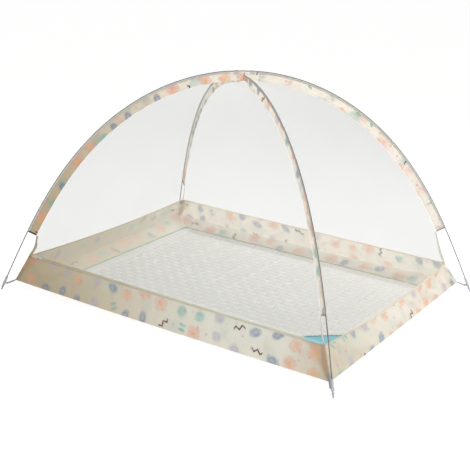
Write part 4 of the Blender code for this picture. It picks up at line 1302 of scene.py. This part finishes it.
class NetTentNets(bpy.types.Operator):
    """Makes the four net panels, the front one being the door, and binds their free edges"""

    bl_idname = "net_tent.nets"
    bl_label = "Nets"

    def execute(self, context):
        seam = HEM_HEIGHT + HEM_TAPE_HEIGHT / 2 + SEAM
        door = seam + ZIP_TAPE_HEIGHT + SEAM
        self.panel("door_net", "front", DOOR_SIDE_GAP, door, "door", "net_door_front", 4)
        for number, side in enumerate(("right", "back", "left")):
            self.panel(f"side_net_{side}", side, NET_SIDE_GAP, seam, "tent", f"net_{side}", number)
        for corner in CORNERS:
            self.binding(corner, seam)
        return {"FINISHED"}

    def panel(self, name, side, gap, bottom, body, node, number):
        first, second = (net_edge(c, bottom, 44) for c in SIDES[side])
        count = len(first)
        rows = []
        for i in range(count):
            up = i / (count - 1)
            drawn = NET_DRAW * math.sin(math.pi * up)
            hung = HEM_SAG[side] * max(0.0, 1 - up / HEM_SAG_REACH)
            row = []
            for share in shares(36):
                mix = (1 + share) / 2
                reach = first[i][0] * (1 - mix) + second[i][0] * mix
                height = first[i][1] * (1 - mix) + second[i][1] * mix
                spot = side_point(side, share, reach / HALF_DIAGONAL, height, gap)
                spot.z -= hung * slack(side, spot)
                folds = 0.004 * waver(spot.x * 6 + spot.y * 6, up * 3, number + 2)
                folds *= min(1.0, up * 9) * (1 - share**2) * (1 - up)
                spot -= outward(side) * (drawn * (1 - share**2) + folds)
                if i == 0:
                    spot += outward(side) * hem_wave(side, spot)
                row.append(spot)
            rows.append(row)
        obj = cloth_sheet(name, rows)
        finish_piece(obj, netting(), body, "net", node)

    def binding(self, corner, seam):
        """The tape that binds the nets' edge from the hem's corner to the sleeve's end."""
        edge = net_edge(corner, seam + 0.001, 44)[:9]
        rows = []
        for i, (reach, height) in enumerate(edge):
            before = Vector(edge[max(0, i - 1)])
            after = Vector(edge[min(len(edge) - 1, i + 1)])
            run = (after - before).normalized()
            into = Vector((-run.y, run.x))
            row = []
            width = 1.0 if i < 6 else 0.7
            for depth in (-0.0005, 0.0035, 0.0085, 0.0135):
                spot = Vector((reach, height)) + into * depth * width
                row.append(in_world(corner, spot.x, spot.y, 0.0))
            rows.append(row)
        facing = in_world(corner, 0, 0, 1.0)
        obj = cloth_sheet(f"net_edge_binding_{corner}", rows, thickness=0.0009, facing=facing)
        finish_piece(obj, pale_tape(), "tent", "hem_tape")


class NetTentWalls(bpy.types.Operator):
    """Makes the printed walls round the base, with their creases"""

    bl_idname = "net_tent.walls"
    bl_label = "Walls"

    def execute(self, context):
        for number, side in enumerate(SIDES):
            self.wall(side, number)
        return {"FINISHED"}

    def wall(self, side, number):
        columns = 110 if side in LONG_SIDES else 84
        rows = []
        for i in range(13):
            rise = i / 12
            height = EDGE_HEIGHT + (WALL_TOP - EDGE_HEIGHT) * rise
            row = []
            for share in shares(columns):
                spot = side_point(side, share, wall_scale(height), height, 0.0, GUSSET_WIDTH)
                loose = slack(side, spot)
                spot.z -= (EDGE_SAG * (1 - rise) + HEM_SAG[side] * rise) * loose + hem_drop(spot) * rise
                bow = EDGE_BOW * loose * (1 - rise)
                out = hem_wave(side, spot) * rise + self.crease(side, share, rise, number)
                spot -= outward(side) * (bow - out)
                row.append(spot)
            rows.append(row)
        obj = cloth_sheet(f"printed_wall_{side}", rows, (0.9 * number, 0.13 * number), CLOTH)
        mark_inner_faces(obj, outward(side))
        finish_piece(obj, printed("printed cotton"), "tent", "printed_fabric", f"wall_{side}")

    def crease(self, side, share, rise, number):
        """Upright folds that die out towards the seams, deeper on the slack sides."""
        depth = sizes().crease * {"front": 0.75, "right": 1.3, "back": 0.9, "left": 0.9}[side]
        reach = share * (HALF_LENGTH if side in LONG_SIDES else HALF_WIDTH)
        fold = waver(reach * 16 + rise * 1.3, rise * 1.6, number + 5)
        fold += 0.5 * waver(reach * 34 - rise * 2.0, rise * 2.2, number + 9)
        fade = math.sin(math.pi * min(1.0, max(0.0, rise * 0.92 + 0.04))) * min(1.0, (1 - abs(share)) * 18)
        # Folds that fan out from the corners of the hem
        from_end = (1 - abs(share)) * (HALF_LENGTH if side in LONG_SIDES else HALF_WIDTH)
        below = (1.1 - rise) * (HEM_HEIGHT - EDGE_HEIGHT)
        far = math.hypot(from_end, below)
        turn = math.atan2(below, from_end)
        pull = 1.8 if side == "right" and share > 0 else 1.0
        fold += pull * math.sin(turn * 9 + number + math.copysign(1.0, share)) * math.exp(-far / 0.22)
        return depth * fold * fade


class NetTentHems(bpy.types.Operator):
    """Sews the tape along the top of each wall"""

    bl_idname = "net_tent.hems"
    bl_label = "Hem tapes"

    def execute(self, context):
        for side in SIDES:
            rows = []
            for share in shares(96):
                row = []
                for k in range(5):
                    height = HEM_HEIGHT + HEM_TAPE_HEIGHT * (k / 4 - 0.5)
                    spot = side_point(side, share, wall_scale(height), height, MITRE_GAP)
                    spot.z -= HEM_SAG[side] * slack(side, spot) + hem_drop(spot)
                    row.append(spot + outward(side) * hem_wave(side, spot))
                rows.append(row)
            obj = cloth_sheet(f"hem_band_{side}", rows, thickness=HEM_TAPE, facing=outward(side))
            finish_piece(obj, hem_tape_cloth(), "tent", "hem_tape", f"hem_tape_{side}")
        return {"FINISHED"}


class NetTentCorners(bpy.types.Operator):
    """Folds the strips round the four corners of the base"""

    bl_idname = "net_tent.corners"
    bl_label = "Corner strips"

    def execute(self, context):
        width = GUSSET_WIDTH - SEAM
        backs = [(width, 0.0), (0.0225, 0.0), (0.0175, 0.0), (0.012, 0.0), (0.0085, 0.0), (0.0062, 0.0)]
        for k in range(7):
            turn = math.radians(90 * k / 6)
            bend = GUSSET_FOLD * 1.12
            backs.append((bend * (1 - math.sin(turn)), bend * (1 - math.cos(turn))))
        backs += [(y, x) for x, y in reversed(backs[:6])]
        for number, corner in enumerate(CORNERS):
            sign_x, sign_y, _ = CORNERS[corner]
            along_x = "front" if sign_y < 0 else "back"
            along_y = "left" if sign_x < 0 else "right"
            rows = []
            for i in range(13):
                height = EDGE_HEIGHT + (WALL_TOP - EDGE_HEIGHT) * i / 12
                scale = wall_scale(height)
                row = []
                for back_x, back_y in backs:
                    x = sign_x * (HALF_LENGTH * scale - back_x)
                    y = sign_y * (HALF_WIDTH * scale - back_y)
                    spot = Vector((x, y, height))
                    side = along_x if back_x > back_y else along_y
                    spot.z -= (HEM_SAG[side] * slack(side, spot) + hem_drop(spot)) * i / 12
                    row.append(spot)
                rows.append(row)
            facing = in_world(corner, 1.0, 0.0)
            obj = cloth_sheet(f"corner_strip_{corner}", rows, (0.0, 0.37 * number), CLOTH, facing)
            finish_piece(obj, corner_cotton(), "tent", "gusset_fabric", f"corner_gusset_{corner}")
        return {"FINISHED"}


class NetTentBorders(bpy.types.Operator):
    """Turns the printed cloth under at the bottom edge and pipes its seam with the floor"""

    bl_idname = "net_tent.borders"
    bl_label = "Borders and piping"

    def execute(self, context):
        for number, side in enumerate(SIDES):
            reach = HALF_WIDTH if side in LONG_SIDES else HALF_LENGTH
            outer = 1 - SEAM / reach
            inner = PIPING_SCALE + (PIPING_RADIUS + FIT) / reach
            rows = []
            for i in range(9):
                part = i / 8
                scale = outer + (inner - outer) * part
                row = []
                for share in shares(90):
                    start = EDGE_HEIGHT - CLOTH
                    height = start + (PIPING_HEIGHT + CLOTH - start) * part
                    spot = side_point(side, share, scale, height, MITRE_GAP)
                    loose = slack(side, spot) * (1 - part)
                    spot.z -= EDGE_SAG * loose
                    spot -= outward(side) * EDGE_BOW * loose
                    fade = math.sin(math.pi * part) * min(1.0, (1 - abs(share)) * 12)
                    spot.z += 0.002 * fade * waver(share * 12, part * 2, number + 3)
                    row.append(spot)
                rows.append(row)
            obj = cloth_sheet(f"turned_border_{side}", rows, (0.5 * number, 2.1), CLOTH, DOWN)
            mark_inner_faces(obj, DOWN)
            finish_piece(obj, printed("printed cotton"), "tent", "printed_fabric", f"floor_border_{side}")
            rings = []
            for share in shares(60):
                ring = []
                for k in range(12):
                    turn = 2 * math.pi * (k + 0.5) / 12
                    round_scale = PIPING_SCALE + PIPING_RADIUS * math.cos(turn) / reach
                    height = PIPING_HEIGHT + PIPING_RADIUS * math.sin(turn)
                    ring.append(side_point(side, share, round_scale, height, MITRE_GAP))
                rings.append(ring)
            cord = tube(f"piping_{side}", rings, angle=60)
            finish_piece(cord, piping_cloth(), "tent", "piping", f"floor_piping_{side}")
        return {"FINISHED"}


class NetTentFloor(bpy.types.Operator):
    """Lays the coated floor sheet, whose rim rises to the piping"""

    bl_idname = "net_tent.floor_sheet"
    bl_label = "Floor sheet"

    def execute(self, context):
        def spread(flat, rim):
            rising = [flat + (rim - flat) * k / 6 for k in range(1, 7)]
            level = [flat * k / 24 for k in range(25)]
            half = level + rising
            return [-v for v in reversed(half[1:])] + half

        across, lengthways = (spread(flat, rim) for flat, rim in zip(FLAT, RIM))
        rows = [[Vector((x, y, floor_top(x, y) - FLOOR / 2)) for x in across] for y in lengthways]
        obj = cloth_sheet("coated_floor_sheet", rows, thickness=FLOOR, facing=Vector((0, 0, 1)))
        finish_piece(obj, coated_floor(), "tent", "floor_fabric", "floor_sheet")
        return {"FINISHED"}


def quilting(x, y):
    """The pad's height at a place, from 0 in a stitched groove to 1 on a rib: blocks of three ribs that
    lie across and along in turn."""
    side = sizes().quilt
    column, row = math.floor(x / side), math.floor(y / side)
    in_x, in_y = x / side - column, y / side - row
    way, other = (in_x, in_y) if (column + row) % 2 else (in_y, in_x)
    rib = abs(math.sin(3 * math.pi * way)) ** 0.6
    end = min(1.0, min(other, 1 - other) / 0.12)
    return rib * math.sin(end * math.pi / 2)


class NetTentPad(bpy.types.Operator):
    """Makes the quilted pad, crowned towards its turned edges"""

    bl_idname = "net_tent.pad"
    bl_label = "Quilted pad"

    def execute(self, context):
        step = sizes().quilt / 9
        edge = [0.0, 0.0015, 0.005, 0.011, 0.02, 0.032]
        depth = PAD_BACK - PAD_FRONT
        inner = round((depth - 2 * edge[-1]) / step)
        ys = [PAD_FRONT + v for v in edge]
        ys += [PAD_FRONT + edge[-1] + (depth - 2 * edge[-1]) * i / inner for i in range(1, inner)]
        ys += [PAD_BACK - v for v in reversed(edge)]
        columns = round((PAD_RIGHT - PAD_LEFT) / step)
        crown = [0.05, 0.22, 0.5, 0.75, 0.92, 1.0]
        last = len(ys) - 1
        points, uvs, tops, lows = [], [], [], []

        def add_point(x, y, height):
            points.append(Vector((x, y, height)))
            uvs.append((x, y))
            return len(points) - 1

        for i, y in enumerate(ys):
            along_cut = min(1.0, (y - PAD_FRONT) / (PAD_RIGHT - PAD_CUT - PAD_FRONT))
            right = min(PAD_RIGHT, y + PAD_CUT) - CUT_HOLLOW * math.sin(math.pi * along_cut)
            width = right - PAD_LEFT - 2 * edge[-1]
            xs = [PAD_LEFT + v for v in edge]
            xs += [PAD_LEFT + edge[-1] + width * j / columns for j in range(1, columns)]
            xs += [right - v for v in reversed(edge)]
            end = len(xs) - 1
            kept = range(end + 1) if i in (0, last) else (0, columns // 20, columns - columns // 40, end)
            top, low = [], {}
            for j, x in enumerate(xs):
                full = crown[min(i, last - i, j, end - j, 5)]
                base = floor_top(x, y) + PAD_GAP
                soft = 0.0012 * waver(x * 7, y * 7, 2) * full
                pressed = QUILT_DEPTH * (1 - quilting(x, y)) * full
                top.append(add_point(x, y, base + 0.003 + (PAD_THICKNESS - 0.003) * full + soft - pressed))
                if j in kept:
                    low[j] = add_point(x, y, base + 0.002 * (1 - full))
            tops.append(top)
            lows.append(low)
        faces = []
        for top, above in zip(tops, tops[1:]):
            faces += [(top[j], top[j + 1], above[j + 1], above[j]) for j in range(end)]
        marks = sorted(lows[1])
        for low, above in zip(lows, lows[1:]):
            for a, b in zip(marks, marks[1:]):
                first = [low[j] for j in sorted(low) if a <= j <= b]
                second = [above[j] for j in sorted(above) if a <= j <= b]
                faces.append(tuple(second + first[::-1]))
        far = [lows[last][j] for j in range(end, -1, -1)]
        for top, low in ((tops[0], lows[0]), (tops[last][::-1], far)):
            faces += [(low[j], low[j + 1], top[j + 1], top[j]) for j in range(end)]
        for i in range(last):
            faces.append((lows[i + 1][0], lows[i][0], tops[i][0], tops[i + 1][0]))
            faces.append((lows[i][end], lows[i + 1][end], tops[i + 1][end], tops[i][end]))
        obj = new_piece("quilted_floor_pad", points, faces, uvs)
        smooth(obj, 70)
        finish_piece(obj, quilted_cotton(), "tent", "quilted_fabric", "quilted_pad")
        return {"FINISHED"}


class NetTentStraps(bpy.types.Operator):
    """Loops the corner webbing round the lugs of the feet"""

    bl_idname = "net_tent.straps"
    bl_label = "Corner straps"

    def execute(self, context):
        for corner in CORNERS:
            arch = arch_of(corner)
            chord, run = along(arch, 0.0)
            centre = chord - run * LUG_BELOW_CHORD
            bar = Vector((centre.x - LUG_REACH + LUG_BAR / 2, centre.y))
            wide = LUG_BAR / 2 + STRAP_CLEARANCE
            high = LUG_HALF_THICKNESS + STRAP_CLEARANCE
            fold = HALF_DIAGONAL * (1 - GUSSET_FOLD / (HALF_LENGTH + HALF_WIDTH))
            start = Vector((fold + CLOTH / 2 + 0.0007, EDGE_HEIGHT - CLOTH))
            low = start - Vector((0, STRAP_CLEARANCE))
            tall = start + Vector((0, STRAP_CLEARANCE))
            path = [low.lerp(bar + Vector((-wide, -high)), k / 4) for k in range(4)]
            for k in range(13):
                turn = math.radians(-90 + 15 * k)
                path.append(bar + Vector((wide * math.cos(turn), high * math.sin(turn))))
            path += [(bar + Vector((-wide, high))).lerp(tall, k / 4) for k in range(5)]
            rows = []
            for spot in path:
                across = [STRAP_WIDTH * (k / 6 - 0.5) for k in range(7)]
                rows.append([in_world(corner, spot.x, spot.y, side) for side in across])
            obj = cloth_sheet(f"corner_webbing_{corner}", rows, thickness=STRAP, facing=DOWN)
            finish_piece(obj, webbing(), "tent", "webbing", f"corner_strap_{corner}")
        return {"FINISHED"}


def zip_frame(x):
    """The zip's frame at x: its origin on the hem, then along the hem, out of the cloth and up it."""
    lean = math.atan2(HEM_INSET * HALF_WIDTH / HALF_LENGTH, HEM_HEIGHT - EDGE_HEIGHT)
    up = Vector((0, math.sin(lean), math.cos(lean)))
    out = Vector((0, -math.cos(lean), math.sin(lean)))
    height = HEM_HEIGHT + HEM_TAPE_HEIGHT / 2
    origin = Vector((x, -HALF_WIDTH * wall_scale(height), height))
    return origin, Vector((1, 0, 0)), out, up


class NetTentZip(bpy.types.Operator):
    """Makes the zip: the door's tape and the two rows of teeth, and gives the slider and its pull their
    metal
    """

    bl_idname = "net_tent.zip"
    bl_label = "Zip"

    def execute(self, context):
        origin, ahead, out, up = zip_frame(0.0)
        rows = []
        for share in shares(120):
            row = []
            for k in range(5):
                height = SEAM + (ZIP_TAPE_HEIGHT - SEAM) * k / 4
                row.append(origin + ahead * ZIP_HALF * share + up * height + out * NET_THICKNESS / 4)
            rows.append(row)
        tape = cloth_sheet("door_tape", rows, thickness=0.001, facing=out)
        finish_piece(tape, pale_tape(), "door", "hem_tape", "door_zip_tape")
        back = HEM_TAPE / 2 + FIT
        front = back + CHAIN_DEPTH
        lower = self.teeth("zip_teeth_lower", LOWER_CHAIN_HALF, back, front, -0.0022, 0.0005, 0.0)
        finish_piece(lower, zip_plastic(), "tent", "zip_chain", "zip_chain_lower")
        upper = self.teeth("zip_teeth_upper", ZIP_HALF, back, front, -0.0005, 0.0022, TEETH_PITCH / 2)
        finish_piece(upper, zip_plastic(), "door", "zip_chain", "zip_chain_upper")
        for node in ("zip_slider", "zip_pull"):
            finish_node(node, zip_metal())
        return {"FINISHED"}

    def teeth(self, name, half, back, front, low, high, shift):
        """A row of teeth along the hem, each a small tapered block, on a thin core."""
        origin, ahead, out, up = zip_frame(0.0)
        points, faces = [], []

        def block(x0, x1, y0, y1, z0, z1, taper):
            first = len(points)
            middle = (x0 + x1) / 2
            for y, narrow in ((y0, 1.0), (y1, taper)):
                for x, z in ((x0, z0), (x1, z0), (x1, z1), (x0, z1)):
                    points.append(origin + ahead * (middle + (x - middle) * narrow) + out * y + up * z)
            a = first
            faces.extend([(a, a + 1, a + 2, a + 3), (a + 7, a + 6, a + 5, a + 4)])
            for k in range(4):
                b = (k + 1) % 4
                faces.append((a + b, a + k, a + 4 + k, a + 4 + b))

        count = int(2 * half / TEETH_PITCH) - 1
        for i in range(count):
            x = -half + shift + TEETH_PITCH * (i + 0.5)
            block(x - 0.00055, x + 0.00055, back, front, low, high, 0.7)
        core = -0.0022 if low < -0.001 else 0.0012
        block(-half, half, back, back + 0.0008, core, core + 0.001, 1.0)
        obj = new_piece(name, points, faces)
        turn_outwards(obj)
        return obj


STEPS = (
    NetTentStage,
    NetTentPoles,
    NetTentFeet,
    NetTentSleeves,
    NetTentCrown,
    NetTentNets,
    NetTentWalls,
    NetTentHems,
    NetTentCorners,
    NetTentBorders,
    NetTentFloor,
    NetTentPad,
    NetTentStraps,
    NetTentZip,
)


class NetTentPanel(bpy.types.Panel):
    """The tent's pieces and colours"""

    bl_idname = "VIEW3D_PT_net_tent"
    bl_label = "Net tent"
    bl_space_type = "VIEW_3D"
    bl_region_type = "UI"
    bl_category = "Net tent"

    def draw(self, context):
        for step in STEPS:
            self.layout.operator(step.bl_idname)
        for group in (context.scene.net_tent_sizes, context.scene.net_tent_colours):
            box = self.layout.box()
            for name in group.bl_rna.properties.keys():
                if name not in ("rna_type", "name"):
                    box.prop(group, name)


CLASSES = (TentColours, TentSizes, *STEPS, NetTentPanel)


def register():
    for cls in CLASSES:
        bpy.utils.register_class(cls)
    bpy.types.Scene.net_tent_colours = PointerProperty(type=TentColours)
    bpy.types.Scene.net_tent_sizes = PointerProperty(type=TentSizes)


def unregister():
    del bpy.types.Scene.net_tent_sizes
    del bpy.types.Scene.net_tent_colours
    for cls in reversed(CLASSES):
        bpy.utils.unregister_class(cls)


def main():
    register()
    bpy.ops.net_tent.stage()
    bpy.ops.net_tent.poles()
    bpy.ops.net_tent.feet()
    bpy.ops.net_tent.sleeves()
    bpy.ops.net_tent.crown()
    bpy.ops.net_tent.nets()
    bpy.ops.net_tent.walls()
    bpy.ops.net_tent.hems()
    bpy.ops.net_tent.corners()
    bpy.ops.net_tent.borders()
    bpy.ops.net_tent.floor_sheet()
    bpy.ops.net_tent.pad()
    bpy.ops.net_tent.straps()
    bpy.ops.net_tent.zip()
    bpy.context.view_layer.update()


if __name__ == "__main__":
    main()
